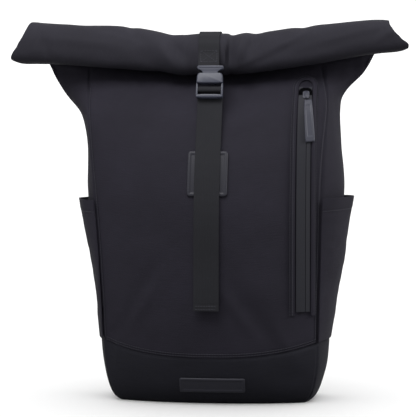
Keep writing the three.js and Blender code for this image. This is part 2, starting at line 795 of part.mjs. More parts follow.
// Female half: a hollow body open at the top and at both sides, over a frame with a ladder bar.
function femaleSolid() {
  const shoulder = buckleHalf - shoulderDraw;
  const lowHigh = [plateLow - plateRoom, plateHigh + plateRoom];
  const bodyStart = windowReach + buckleTaper;
  const outline = mirrored([
    [buckleHalf, -femaleLowerReach],
    [buckleHalf, -windowReach],
    [buckleHalf - buckleTaper, windowReach + 1],
    [shoulder, femaleUpperReach - buckleWall],
    [shoulder - buckleWall, femaleUpperReach],
  ]);
  const ladder = mirrored([
    [buckleHalf, -femaleLowerReach],
    [buckleHalf, -windowReach],
    [buckleHalf - buckleTaper, windowReach + 1],
  ]);
  const below = block(-beyond, beyond, -beyond, bodyStart, -beyond, beyond);
  const upper = plate(outline, bodyLow, bodyHigh).subtract(below);
  const inside = shoulder - buckleWall;
  const cavity = block(-inside, inside, bodyStart + cavityWall, beyond, ...lowHigh);
  const sideTop = femaleUpperReach - 2 * buckleWall;
  const sideWindows = block(-beyond, beyond, bodyStart + sideWall, sideTop, ...lowHigh);
  const window = block(-windowHalf, windowHalf, -windowReach, windowReach, -beyond, beyond);
  const frame = plate(ladder, -frameBack, frameFront).subtract(window);
  const barHalf = windowHalf + barRoot;
  const half = ladderBarHeight / 2;
  const bar = block(-barHalf, barHalf, -half, half, -barHalfDepth, barHalfDepth);
  return upper.subtract(cavity).subtract(sideWindows).add(frame).add(bar);
}

// Outline of a prong. Across starts from the waist's edge or from the prong's outer edge, in prong
// widths, and up is the share of the way from the prongs' feet to the female half's mouth.
const PRONG_OUTLINE = [
  { from: "waist", across: -1.071, up: 0.872 },
  { from: "outer", across: -1.143, up: 0.309 },
  { from: "outer", across: -1.286, up: 0.106 },
  { from: "outer", across: -0.286, up: 0 },
  { from: "outer", across: 0.286, up: 0.266 },
  { from: "outer", across: 0.214, up: 0.404 },
  { from: "waist", across: 0, up: 0.862 },
];
const prongLines = { waist: waistHalf, outer: buckleHalf - prongInset };
const cheekNear = windowHalf + cheekGap;

// Male half: a front lip and a rear bar for the strap, a waist, and two sprung prongs.
function maleSolid() {
  const lipHalf = buckleHalf - clearance;
  const half = maleBarHeight / 2;
  const lowest = windowReach + prongFoot;
  const [barLow, barHigh] = [maleBarUp - half, maleBarUp + half];
  const lip = block(
    -lipHalf, lipHalf, barLow - lipOverhang, barHigh + lipOverhang, plateLow, bodyHigh - lipRecess,
  );
  const rear = block(-lipHalf, lipHalf, barLow, barHigh, bodyLow, bodyLow + rearBarThickness);
  const cheek = (sign) => {
    const [left, right] = [sign * cheekNear, sign * lipHalf].sort((a, b) => a - b);
    return block(left, right, barLow, barHigh, bodyLow, plateHigh);
  };
  const flat = (points) =>
    plate(points.map(({ across, up }) => [across, up]), plateLow, plateHigh);
  const both = (points) =>
    flat([...points, ...points.map(({ across, up }) => ({ across: -across, up })).reverse()]);
  const waist = both([
    { across: waistHalf, up: femaleUpperReach - 1.5 * waistJoin },
    { across: waistHalf, up: barLow },
  ]);
  const tongue = both([
    { across: tongueTipHalf, up: lowest },
    { across: tongueHalf, up: femaleUpperReach - 2 * buckleWall },
    { across: waistHalf, up: femaleUpperReach - 1.4 * waistJoin },
  ]);
  const prong = (sign) =>
    flat(
      PRONG_OUTLINE.map(({ from, across, up }) => ({
        across: sign * (prongLines[from] + across * prongWidth),
        up: lerp(lowest, femaleUpperReach, up),
      })),
    );
  return lip.add(rear).add(cheek(1)).add(cheek(-1)).add(waist).add(tongue).add(prong(1)).add(prong(-1));
}

// The buckle's own frame: across is +X, up runs along the strap, and out is away from the body.
const buckle = new THREE.Group();
const buckleUp = new THREE.Vector3(0, strapUp.x, strapUp.y);
const buckleOut = new THREE.Vector3(0, strapOut.x, strapOut.y);
buckle.matrixAutoUpdate = false;
buckle.matrix
  .makeBasis(new THREE.Vector3(1, 0, 0), buckleUp, buckleOut)
  .setPosition(0, barOrigin.x, barOrigin.y);
backpack.add(buckle);
for (const [name, solid] of [["buckle_female", femaleSolid()], ["buckle_male", maleSolid()]]) {
  const mesh = new THREE.Mesh(geometryOf(solid), plasticMaterial);
  mesh.name = name;
  buckle.add(mesh);
}

const slopeStep = 0.5;

// A thin piece that follows the front or the back. The map takes shares across and up to a place
// across and a height; lift is its clearance off the cloth, and thickness may change over it.
function facing(depthAt, outward, columns, rows, map, lift, thickness) {
  const step = slopeStep;
  const grids = [[], []];
  for (let r = 0; r <= rows; r++) {
    const lines = [[], []];
    for (let c = 0; c <= columns; c++) {
      const [x, z] = map(c / columns, r / rows);
      const slopeX = (depthAt(x + step, z) - depthAt(x - step, z)) / (2 * step);
      const slopeZ = (depthAt(x, z + step) - depthAt(x, z - step)) / (2 * step);
      const normal = new THREE.Vector3(-slopeX, 1, -slopeZ).normalize().multiplyScalar(outward);
      const foot = new THREE.Vector3(x, depthAt(x, z), z);
      const high = typeof thickness === "function" ? thickness(c / columns, r / rows) : thickness;
      lines[0].push(foot.clone().addScaledVector(normal, lift + high));
      lines[1].push(foot.clone().addScaledVector(normal, lift));
    }
    grids[0].push(lines[0]);
    grids[1].push(lines[1]);
  }
  return slab(grids[0], grids[1]);
}
const onFront = (columns, rows, map, lift, thickness) =>
  facing(frontDepth, -1, columns, rows, map, lift, thickness);
const onBack = (columns, rows, map, lift, thickness) =>
  facing(backDepth, 1, columns, rows, map, lift, thickness);

// A rectangle with cut corners as a map for facing.
function roundedMap(middleX, middleZ, width, height, corner) {
  return (a, b) => {
    const up = (b - 0.5) * height;
    const near = Math.max(0, Math.abs(up) - (height / 2 - corner));
    const trim = corner - Math.sqrt(Math.max(0, corner * corner - near * near));
    return [middleX + (a - 0.5) * (width - 2 * trim), middleZ + up];
  };
}

const patchMap = roundedMap(0, patchMiddleHeight, patchWidth, patchHeight, patchCorner);
addPiece("strap_patch", onFront(6, 8, patchMap, clearance, patchThickness), rubberMaterial);
const labelMap = roundedMap(labelOffset, labelMiddleHeight, labelWidth, labelHeight, labelCorner);
addPiece("base_label", onFront(8, 4, labelMap, clearance, labelThickness), rubberMaterial);

// The zip: two coated tapes in a stitched welt with an arched top, a slider and a soft pull.
const zipRows = 22;
const zipHalf = zipTapeWidth + zipGap / 2;
const weltHalf = zipHalf + zipRoom + weltBorder;
for (const [name, sign] of [["zip_tape_left", -1], ["zip_tape_right", 1]]) {
  const near = zipOffset + (sign * zipGap) / 2;
  const map = (a, b) => [near + sign * a * zipTapeWidth, lerp(zipBottomHeight, zipTopHeight, b)];
  addPiece(name, onFront(1, zipRows, map, clearance, zipThickness), zipMaterial);
}

function weltGeometry() {
  const low = zipBottomHeight - weltBorder;
  const high = zipTopHeight + weltArchRise;
  const map = (a, b) => {
    const z = lerp(low, high, b ** weltRowBunching);
    const near = Math.max(0, z - (high - weltHalf)) / weltHalf;
    const reach = weltHalf * Math.sqrt(Math.max(weltLeastShare, 1 - near * near));
    return [zipOffset + (2 * a - 1) * reach, z];
  };
  const whole = solidOf(onFront(4, 26, map, clearance, weltThickness));
  const hole = new THREE.BoxGeometry(
    2 * (zipHalf + zipRoom),
    bodyDepth * 2,
    zipTopHeight - zipBottomHeight + 2 * zipRoom,
  );
  hole.translate(zipOffset, 0, (zipTopHeight + zipBottomHeight) / 2);
  return geometryOf(whole.subtract(solidOf(hole)));
}
addPiece("zip_welt", weltGeometry(), clothMaterial);

const sliderLift = 2 * clearance + zipThickness;
const sliderMiddle = zipTopHeight - sliderLength / 2 - sliderDrop;
const sliderMap = roundedMap(zipOffset, sliderMiddle, sliderWidth, sliderLength, sliderCorner);
addPiece("zip_slider", onFront(4, 5, sliderMap, sliderLift, sliderThickness), plasticMaterial);
function pullMap(a, b) {
  const top = sliderMiddle - sliderLength / 2 - pullGap;
  const along = b * pullLength;
  const trim = 1 - pullEndDraw * Math.abs(2 * b - 1) ** pullEndPower;
  const lean = pullLean / pullLength;
  const across = (a - 0.5) * pullWidth;
  return [zipOffset + pullOffset + along * lean + across * trim, top - along + across * lean];
}
addPiece("zip_pull", onFront(3, 9, pullMap, sliderLift, pullThickness), pullMaterial);

// A side pocket: an open-topped wall that stands off its side panel, most at the top.
function pocketGeometry(first) {
  const rows = 9;
  const columns = sideColumns;
  const bottom = baseHeight + pocketFootRise;
  const outer = [];
  const inner = [];
  for (let r = 0; r <= rows; r++) {
    const share = r / rows;
    const height = lerp(bottom, middleHeight(pocketTopHeight, bodyWidth / 2), share);
    const loop = outerLoop(height);
    const flare = lerp(pocketFootShare, 1, share ** pocketFlarePower);
    const stand = pocketStandOff * flare * Math.min(1, share * pocketFootEase);
    const line = [[], []];
    for (let c = 0; c <= columns; c++) {
      const bulge = stand * Math.sin((Math.PI * c) / columns) ** pocketRoundness;
      const base = clearance + pocketSeamGap + bulge;
      line[0].push(insetLoop(loop, -base - pocketWall, height)[(first + c) % loop.length]);
      line[1].push(insetLoop(loop, -base, height)[(first + c) % loop.length]);
    }
    outer.push(line[0]);
    inner.push(line[1]);
  }
  return slab(outer, inner);
}
addPiece("right_pocket", pocketGeometry(frontColumns), clothMaterial);
addPiece("left_pocket", pocketGeometry(frontColumns + sideColumns + backColumns), clothMaterial);

// Two foam pads on the back, domed towards their middles.
const PAD_SIDES = [
  { name: "left", sign: -1 },
  { name: "right", sign: 1 },
];
for (const { name, sign } of PAD_SIDES) {
  const middle = sign * (padGap / 2 + padWidth / 2);
  const high = (padBottomHeight + padTopHeight) / 2;
  const swell = (share, power) => (1 - Math.abs(2 * share - 1) ** power) ** padRoundness;
  const dome = (a, b) =>
    lerp(padEdgeThickness, padThickness, swell(a, padSidePower) * swell(b, padEndPower));
  const map = roundedMap(middle, high, padWidth, padTopHeight - padBottomHeight, padCorner);
  addPiece(`${name}_back_pad`, onBack(6, 12, map, clearance, dome), meshMaterial);
}

// Sweeps a closed section, given across and out, along a line of points, level across the width.
function sweep(line, sectionAt) {
  const positions = [];
  const index = [];
  const count = sectionAt(0).length;
  line.forEach((p, i) => {
    const a = line[Math.max(i - 1, 0)];
    const b = line[Math.min(i + 1, line.length - 1)];
    const along = b.clone().sub(a).normalize();
    const across = new THREE.Vector3(1, 0, 0).addScaledVector(along, -along.x).normalize();
    const out = across.clone().cross(along);
    for (const [u, v] of sectionAt(i / (line.length - 1))) {
      const q = p.clone().addScaledVector(across, u).addScaledVector(out, v);
      positions.push(q.x, q.y, q.z);
    }
  });
  for (let i = 0; i < line.length - 1; i++)
    for (let k = 0; k < count; k++) {
      const a = i * count + k;
      const b = i * count + ((k + 1) % count);
      index.push(a, b, b + count, a, b + count, a + count);
    }
  const end = (line.length - 1) * count;
  for (let k = 1; k < count - 1; k++) index.push(0, k + 1, k, end, end + k, end + k + 1);
  const geometry = new THREE.BufferGeometry();
  geometry.setAttribute("position", new THREE.Float32BufferAttribute(positions, 3));
  geometry.setIndex(index);
  return faceOut(geometry);
}

const flatSection = (width, thickness) => () => [
  [-width / 2, -thickness / 2],
  [width / 2, -thickness / 2],
  [width / 2, thickness / 2],
  [-width / 2, thickness / 2],
];
// Outline of a padded strap's section, as shares of half of its width and of its thickness.
const PAD_OUTLINE = [
  { across: -1, out: 0 },
  { across: -0.86, out: -0.8 },
  { across: -0.5, out: -1 },
  { across: 0.5, out: -1 },
  { across: 0.86, out: -0.8 },
  { across: 1, out: 0 },
  { across: 0.86, out: 0.8 },
  { across: 0.5, out: 1 },
  { across: -0.5, out: 1 },
  { across: -0.86, out: 0.8 },
];
const padSection = (width, thickness) => (share) => {
  const end = 1 - shoulderEndDraw * Math.abs(2 * share - 1) ** 8;
  const w = (width * end) / 2;
  const t = thickness / 2;
  return PAD_OUTLINE.map(({ across, out }) => [across * w, out * t]);
};

// Shoulder strap: a padded band from the top of the back, bowed outward and running apart downward.
function shoulderLine(sign) {
  const points = [];
  const rows = 14;
  for (let k = 0; k <= rows; k++) {
    const share = k / rows;
    const z = lerp(shoulderTopHeight, shoulderEndHeight, share);
    const spread = share ** shoulderSpreadPower;
    const x = (sign * lerp(shoulderTopSpacing, shoulderEndSpacing, spread)) / 2;
    const ease = Math.min(1, share / shoulderEase);
    const over = shoulderThickness / 2 + 2 * clearance + padThickness * ease;
    const bow = shoulderBow * Math.sin(Math.PI * share) ** shoulderBowPower;
    const innerEdge = Math.max(0, Math.abs(x) - shoulderWidth / 2);
    points.push(new THREE.Vector3(x, backDepth(innerEdge, z) + over + bow, z));
  }
  return points;
}

for (const { name, sign } of PAD_SIDES) {
  const line = shoulderLine(sign);
  const strapSection = padSection(shoulderWidth, shoulderThickness);
  addPiece(`${name}_shoulder_strap`, sweep(line, strapSection), meshMaterial);

  // The adjuster is a flat frame just below the pad's end, in line with it.
  const end = line[line.length - 1];
  const anchorAcross = lowerAnchorSpacing / 2;
  const innerEdge = anchorAcross - lowerWebbingWidth / 2;
  const anchorDepth = backDepth(innerEdge, lowerAnchorHeight + anchorReadRise) + webbingLift + clearance;
  const anchor = new THREE.Vector3(sign * anchorAcross, anchorDepth, lowerAnchorHeight);
  const down = anchor.clone().sub(end).normalize();
  const start = end.clone().addScaledVector(down, clearance + adjusterGap);
  const stop = start.clone().addScaledVector(down, adjusterLength);
  const frameSection = flatSection(adjusterWidth, adjusterThickness);
  addPiece(`${name}_adjuster`, sweep([start, stop], frameSection), plasticMaterial);

  // The lower webbing runs from the adjuster to the lower corner of the back.
  const from = stop.clone().addScaledVector(down, clearance);
  addPiece(
    `${name}_lower_webbing`,
    sweep([from, from.clone().lerp(anchor, 0.5), anchor], flatSection(lowerWebbingWidth, webbingThickness)),
    webbingMaterial,
  );
}

// Grab handle: a flat loop standing out from the top of the back.
function handleLine() {
  const points = [];
  const rows = 12;
  for (let k = 0; k <= rows; k++) {
    const share = (2 * k) / rows - 1;
    const x = (share * handleSpan) / 2;
    const out = handleReach * (1 - Math.abs(share) ** handleRoundness);
    const foot = backDepth(x, handleHeight - handleWidth / 2) + handleThickness / 2 + clearance / 3;
    points.push(new THREE.Vector3(x, foot + out, handleHeight));
  }
  return points;
}
function handleGeometry() {
  const grids = [[], []];
  const line = handleLine().map((p) => new THREE.Vector2(p.x, p.y));
  for (const z of [handleHeight - handleWidth / 2, handleHeight + handleWidth / 2]) {
    grids[0].push(offsetPath(line, handleThickness / 2).map((p) => new THREE.Vector3(p.x, p.y, z)));
    grids[1].push(offsetPath(line, -handleThickness / 2).map((p) => new THREE.Vector3(p.x, p.y, z)));
  }
  return slab(grids[0], grids[1]);
}
addPiece("grab_handle", handleGeometry(), webbingMaterial);

export default backpack;
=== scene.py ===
"""Dresses a rolltop backpack: woven cloth, a rolled top, webbing, a buckle, a coated zip and padding."""

import json
import logging
import math
from dataclasses import dataclass, field
from enum import Enum
from typing import Callable, Sequence

import bmesh
import bpy
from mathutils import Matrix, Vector, noise

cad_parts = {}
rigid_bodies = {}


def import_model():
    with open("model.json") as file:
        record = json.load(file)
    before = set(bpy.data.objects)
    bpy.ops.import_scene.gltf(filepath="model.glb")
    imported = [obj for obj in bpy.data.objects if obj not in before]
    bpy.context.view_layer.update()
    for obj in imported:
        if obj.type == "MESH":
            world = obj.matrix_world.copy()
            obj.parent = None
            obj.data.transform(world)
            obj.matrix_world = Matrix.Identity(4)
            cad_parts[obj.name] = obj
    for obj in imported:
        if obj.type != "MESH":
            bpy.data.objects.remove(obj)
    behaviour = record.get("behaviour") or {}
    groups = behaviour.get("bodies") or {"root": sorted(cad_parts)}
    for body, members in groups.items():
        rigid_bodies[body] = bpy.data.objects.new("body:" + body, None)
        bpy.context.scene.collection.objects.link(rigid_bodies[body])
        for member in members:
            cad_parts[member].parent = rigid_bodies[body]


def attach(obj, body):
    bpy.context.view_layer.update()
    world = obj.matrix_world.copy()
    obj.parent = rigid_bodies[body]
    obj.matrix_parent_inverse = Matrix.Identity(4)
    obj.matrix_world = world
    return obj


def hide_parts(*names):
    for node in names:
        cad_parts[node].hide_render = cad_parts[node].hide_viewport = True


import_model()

LOG = logging.getLogger("backpack")
MM = 0.001
Row = dict[str, float]
Grid = list[list[Vector]]
Pair = tuple[Vector, Vector]
Flat = tuple[float, float]
DepthAt = Callable[[float, float], float]
Place = Callable[[float, float], Flat]
STRIP = 10 * MM
RIGHTWARD = Vector((1.0, 0.0, 0.0))
UPWARD = Vector((0.0, 0.0, 1.0))
FORWARD = Vector((0.0, -1.0, 0.0))


def table(columns: str, *rows: tuple[float, ...]) -> list[Row]:
    """Makes a table whose columns have names.

    Args:
        columns: The names, with spaces between.
        rows: The values in each row.

    Returns:
        One dictionary for each row.
    """
    return [dict(zip(columns.split(), row, strict=True)) for row in rows]


class Pattern(Enum):
    """What the surface of a finish is made of."""

    WEAVE = "Weave"
    RIB = "Rib"
    GRAIN = "Grain"
    NET = "Net"
    PLAIN = "Plain"


class Finish(Enum):
    """Names of the finishes."""

    BODY = "body_cloth"
    ROLL = "roll_cloth"
    BASE = "base_cloth"
    WEBBING = "webbing"
    RUBBER = "rubber_patch"
    ZIP = "coated_zip"
    PULL = "pull_rubber"
    PLASTIC = "buckle_plastic"
    MESH = "spacer_mesh"
    THREAD = "thread"
    # Near-black finish of painted shade, laid where only shadow shows.
    DARK = "dark_inside"


BODY_SECTIONS: list[Row] = table(
    "height seam_left seam_right side_left side_right front seam_front seam_back back fold",
    (0, 0.7, 0.71, 0.735, 0.745, -0.37, -0.24, 0.25, 0.31, 0),
    (0.012, 0.745, 0.75, 0.785, 0.785, -0.42, -0.275, 0.275, 0.34, 0),
    (0.04, 0.78, 0.785, 0.83, 0.825, -0.475, -0.305, 0.3, 0.365, 0),
    (0.085, 0.805, 0.81, 0.865, 0.865, -0.515, -0.325, 0.315, 0.385, 0),
    (0.137, 0.82, 0.815, 0.88, 0.88, -0.54, -0.33, 0.32, 0.395, 0),
    (0.25, 0.832, 0.82, 0.885, 0.905, -0.575, -0.335, 0.32, 0.4, 0),
    (0.37, 0.85, 0.828, 0.915, 0.945, -0.595, -0.335, 0.32, 0.4, 0),
    (0.49, 0.87, 0.834, 0.965, 0.97, -0.6, -0.33, 0.32, 0.4, 0),
    (0.62, 0.9, 0.843, 0.995, 0.995, -0.58, -0.315, 0.32, 0.4, 0),
    (0.745, 0.935, 0.862, 1, 0.975, -0.505, -0.275, 0.31, 0.385, 0.1),
    (0.84, 0.962, 0.882, 1.07, 0.975, -0.395, -0.205, 0.28, 0.35, 0.4),
    (0.89, 0.972, 0.876, 1.18, 1.01, -0.3, -0.145, 0.25, 0.305, 0.7),
    (0.955, 0.98, 0.838, 1.3, 1.19, -0.12, -0.04, 0.155, 0.175, 1),
    (1, 0.985, 0.812, 1.35, 1.257, 0.0267, 0.0267, 0.0667, 0.0667, 1),
)

ROLL_LINES: list[Row] = table(
    "along top bottom",
    (-1.02, 0.94, 0.88),
    (-0.85, 0.75, 0.84),
    (-0.64, 0.68, 0.66),
    (-0.43, 0.5, 0.38),
    (-0.26, 0.05, 0.19),
    (-0.16, -0.09, 0.06),
    (-0.07, 0, 0),
    (0.07, 0, 0),
    (0.17, 0.02, 0.12),
    (0.34, 0.25, 0.44),
    (0.55, 0.56, 0.94),
    (0.81, 0.92, 1.56),
    (1.02, 0.97, 1.9),
)

ADJUSTER_BARS: list[Row] = table(
    "left right low high rear front",
    (-16, -13.1, 0, 14, -2, 2),
    (13.1, 16, 0, 14, -2, 2),
    (-13.6, 13.6, 0, 3, -1.8, 1.7),
    (-13.6, 13.6, 5.9, 8.3, -0.9, 1.9),
    (-13.6, 13.6, 11.2, 14, -1.8, 1.4),
)

ROLL_ENDS: list[Row] = table(
    "turn left right",
    (0, 0.868, 0.8),
    (0.25, 0.922, 0.856),
    (0.35, 0.938, 0.878),
    (0.46, 0.952, 0.888),
    (0.54, 0.973, 0.912),
    (0.58, 0.994, 0.94),
    (0.63, 1.02, 0.975),
    (0.7, 1.03, 0.978),
    (0.76, 1, 0.955),
    (0.85, 0.965, 0.928),
    (1, 0.945, 0.9),
    (1.8, 0.94, 0.895),
)

FRONT_FOLDS: list[Row] = table(
    "across up span reach lean depth",
    (-0.32, 0.235, 0.036, 0.095, -29, 0.017),
    (-0.385, 0.17, 0.02, 0.06, 4, 0.0091),
    (0.17, 0.27, 0.04, 0.1, 37, 0.013),
    (0.3, 0.085, 0.07, 0.035, 0, 0.0078),
    (-0.2, 0.86, 0.09, 0.05, 60, 0.013),
    (-0.27, 0.275, 0.024, 0.1, -31, -0.014),
    (-0.35, 0.185, 0.011, 0.06, -10, -0.0091),
    (0.11, 0.29, 0.026, 0.09, 36, -0.012),
    (0.19, 0.84, 0.03, 0.06, -50, 0.0078),
    (-0.42, 0.42, 0.02, 0.12, 4, 0.0059),
    (-0.22, 0.38, 0.03, 0.07, -34, 0.0052),
    (0.28, 0.2, 0.026, 0.08, 30, -0.0065),
    (0.41, 0.5, 0.016, 0.14, 2, 0.0046),
    (-0.13, 0.62, 0.05, 0.16, 14, 0.0052),
    (-0.1, 0.12, 0.05, 0.03, 70, 0.0052),
)

ROLL_FOLDS: list[Row] = table(
    "across up span reach lean depth",
    (-0.185, 0.66, 7, 17, -36, 3.6),
    (-0.235, 0.45, 7, 20, -44, -3.2),
    (-0.3, 0.22, 9, 16, -52, 2.4),
    (-0.1, 0.35, 4, 16, -14, 2.2),
    (0.085, 0.55, 6, 22, 3, 4.6),
    (0.145, 0.6, 6, 15, 12, -4.6),
    (0.2, 0.76, 7, 13, 34, 2.8),
    (0.3, 0.5, 3, 36, 70, -1.2),
    (0.3, 0.36, 5, 32, 72, 0.9),
    (0.62, 0.58, 3, 50, 82, -0.7),
    (0.62, 0.45, 5, 46, 83, 0.6),
    (-0.62, 0.56, 4, 60, -86, -0.9),
    (-0.55, 0.88, 4, 44, -80, 1.3),
    (-0.86, 0.5, 6, 18, -20, 1.6),
    (0.84, 0.7, 5, 14, 50, 1.4),
    (0.88, 0.55, 4, 14, 64, -1.6),
    (-0.42, 0.95, 5, 14, -50, 1.4),
    (0.45, 0.96, 5, 14, 56, 1.2),
)


def read_table(rows: list[Row], key: str, column: str, at: float) -> float:
    """Reads a column of a table at a place between its rows, as a smooth curve.

    Args:
        rows: The table.
        key: The column that gives each row's place.
        column: The column to read.
        at: The place.

    Returns:
        The value there.
    """
    last = len(rows) - 1
    i = 0
    while i < last - 1 and rows[i + 1][key] <= at:
        i += 1

    def slope(k: int) -> float:
        a = rows[max(k - 1, 0)]
        b = rows[min(k + 1, last)]
        return (b[column] - a[column]) / (b[key] - a[key])

    span = rows[i + 1][key] - rows[i][key]
    s = min(1.0, max(0.0, (at - rows[i][key]) / span))
    s2 = s * s
    s3 = s2 * s
    start = (2 * s3 - 3 * s2 + 1) * rows[i][column] + (s3 - 2 * s2 + s) * span * slope(i)
    return start + (3 * s2 - 2 * s3) * rows[i + 1][column] + (s3 - s2) * span * slope(i + 1)


def mix(a: float, b: float, share: float) -> float:
    """Returns the value a share of the way from a to b."""
    return a + (b - a) * share


def clamp(value: float, low: float = 0.0, high: float = 1.0) -> float:
    """Returns the value, held between two limits."""
    return min(high, max(low, value))


def ripple(p: Vector, size: float, seed: float = 0.0) -> float:
    """Returns smooth seeded noise between about -1 and 1 at a point, with lumps of a size."""
    return noise.noise(p / size + Vector((seed, seed * 1.7, seed * 0.3)))


class Tools:
    """Small makers of meshes that every sub-assembly uses."""

    @staticmethod
    def mesh(name: str, points: Sequence[Vector], faces: list[tuple[int, ...]], uvs: Sequence[Flat],
             material: bpy.types.Material) -> bpy.types.Object:
        """Makes an object from points, faces and one texture place for each point.

        Args:
            name: Name of the piece.
            points: Its vertices, in metres.
            faces: Its faces, as indices.
            uvs: A place in metres for each vertex.
            material: Its material.

        Returns:
            The new object, linked to the scene.
        """
        data = bpy.data.meshes.new(name)
        data.from_pydata([tuple(p) for p in points], [], faces)
        layer = data.uv_layers.new(name="cloth")
        for loop in data.loops:
            layer.data[loop.index].uv = uvs[loop.vertex_index]
        data.polygons.foreach_set("use_smooth", [True] * len(data.polygons))
        data.materials.append(material)
        data.update()
        piece = bpy.data.objects.new(name, data)
        bpy.context.scene.collection.objects.link(piece)
        return piece

    @staticmethod
    def slab(name: str, outer: Grid, inner: Grid, material: bpy.types.Material, turn: bool = False,
             sharp: float = 40.0) -> bpy.types.Object:
        """Makes a closed sheet between two grids of points.

        Args:
            name: Name of the piece.
            outer: Rows of points of the outer side.
            inner: Rows of points of the inner side.
            material: Its material.
            turn: True to turn the faces round.
            sharp: Angle in degrees from which an edge shows sharp.

        Returns:
            The new object.
        """
        rows = len(outer)
        columns = len(outer[0])
        points = [p for grid in (outer, inner) for row in grid for p in row]
        uvs: list[Flat] = []
        middle = columns // 2
        for grid in (outer, inner):
            up = 0.0
            for r, row in enumerate(grid):
                if r:
                    up += (row[middle] - grid[r - 1][middle]).length
                starts = [0.0]
                for a, b in zip(row, row[1:]):
                    starts.append(starts[-1] + (b - a).length)
                uvs += [(start - starts[middle], up) for start in starts]

        def at(side: int, r: int, c: int) -> int:
            """Returns the number of a vertex."""
            return (side * rows + r) * columns + c

        faces: list[tuple[int, ...]] = []
        for r in range(rows - 1):
            for c in range(columns - 1):
                faces.append((at(0, r, c), at(0, r, c + 1), at(0, r + 1, c + 1), at(0, r + 1, c)))
                faces.append((at(1, r, c), at(1, r + 1, c), at(1, r + 1, c + 1), at(1, r, c + 1)))
        end = rows - 1
        for c in range(columns - 1):
            faces.append((at(0, 0, c), at(1, 0, c), at(1, 0, c + 1), at(0, 0, c + 1)))
            faces.append((at(0, end, c), at(0, end, c + 1), at(1, end, c + 1), at(1, end, c)))
        end = columns - 1
        for r in range(rows - 1):
            faces.append((at(0, r, 0), at(0, r + 1, 0), at(1, r + 1, 0), at(1, r, 0)))
            faces.append((at(0, r, end), at(1, r, end), at(1, r + 1, end), at(0, r + 1, end)))
        if turn:
            faces = [tuple(reversed(f)) for f in faces]
        piece = Tools.mesh(name, points, faces, uvs, material)
        piece.data.set_sharp_from_angle(angle=math.radians(sharp))
        return piece

    @staticmethod
    def grids(rows: int, columns: int, place: Callable[[int, int], Pair]) -> tuple[Grid, Grid]:
        """Fills the two grids of a sheet, row by row.

        Args:
            rows: Divisions along.
            columns: Divisions across.
            place: Takes a row and a column to the outer point and the inner point.

        Returns:
            The outer grid and the inner grid.
        """
        pairs = [[place(r, c) for c in range(columns + 1)] for r in range(rows + 1)]
        return [[pair[0] for pair in row] for row in pairs], [[pair[1] for pair in row] for row in pairs]

    @staticmethod
    def finish_piece(piece: bpy.types.Object, finish: Finish, nodes: Sequence[str] = ()) -> bpy.types.Object:
        """Hangs a piece on the backpack, hides the CAD nodes that it stands for, and logs its face count.

        Args:
            piece: The piece.
            finish: Not used.
            nodes: The CAD nodes.

        Returns:
            The same piece.
        """
        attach(piece, "root")
        if nodes:
            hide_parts(*nodes)
        LOG.info("%s: %d faces", piece.name, len(piece.data.polygons))
        return piece

    @staticmethod
    def cut(piece: bpy.types.Object, grid: Grid, held: str, rests_on: Sequence[str]) -> None:
        """Works out the width and length that a piece's grid spans, stopping early for a mere strip; nothing is done
        with them.

        Args:
            piece: Not used.
            grid: Rows of points over its face.
            held: Not used.
            rests_on: Not used.
        """
        width = max(sum((b - a).length for a, b in zip(row, row[1:])) for row in grid)
        length = max(sum((b - a).length for a, b in zip(line, line[1:])) for line in zip(*grid))
        if min(width, length) < STRIP:
            return
        for low, high in zip(grid, grid[1:]):
            for a, b, c, d in zip(low, low[1:], high[1:], high):
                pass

    @staticmethod
    def bars(name: str, place: Callable[[float, float, float], Vector], rows: Sequence[Row], edge: float,
             material: bpy.types.Material) -> bpy.types.Object:
        """Makes one moulding out of straight bars with chamfered edges.

        Args:
            name: Name of the piece.
            place: Takes across, along and out, in metres, to a point.
            rows: The bars' sides, in millimetres.
            edge: Width of the chamfer, in metres.
            material: Its material.

        Returns:
            The new object.
        """
        shell = bmesh.new()
        for row in rows:
            lows = (row["left"] * MM, row["low"] * MM, row["rear"] * MM)
            highs = (row["right"] * MM, row["high"] * MM, row["front"] * MM)
            corners = []
            for k in range(8):
                signs = [(k >> axis) & 1 for axis in range(3)]
                for flush in range(3):
                    spot = [highs[a] if signs[a] else lows[a] for a in range(3)]
                    for a in range(3):
                        if a != flush:
                            spot[a] += -edge if signs[a] else edge
                    corners.append(shell.verts.new(place(*spot)))
            bmesh.ops.convex_hull(shell, input=corners)
        shell.verts.index_update()
        points = [v.co.copy() for v in shell.verts]
        faces = [tuple(v.index for v in face.verts) for face in shell.faces]
        shell.free()
        piece = Tools.mesh(name, points, faces, [(p.x, p.z) for p in points], material)
        piece.data.set_sharp_from_angle(angle=math.radians(30))
        return piece

    @staticmethod
    def offset_path(path: Sequence[Vector], distance: float) -> list[Vector]:
        """Moves a flat path sideways by a distance, with mitred bends.

        Args:
            path: Points whose x and y hold the two coordinates of the plane.
            distance: How far to the left of its direction, in metres.

        Returns:
            The moved points.
        """
        moved = []
        last = len(path) - 1
        for i, p in enumerate(path):
            before = (p - path[i - 1]).normalized() if i else (path[1] - p).normalized()
            after = (path[i + 1] - p).normalized() if i < last else before
            normal = Vector((-before.y - after.y, before.x + after.x))
            cosine = max(0.5, normal.length / 2)
            moved.append(p + normal.normalized() * (distance / cosine))
        return moved


@dataclass(frozen=True)
class Shade:
    """Colour and gloss of one finish, with the scale and strength of its pattern."""

    colour: tuple[float, float, float]
    roughness: float
    specular: float
    pattern: Pattern
    pitch: float
    relief: float
    vary: float


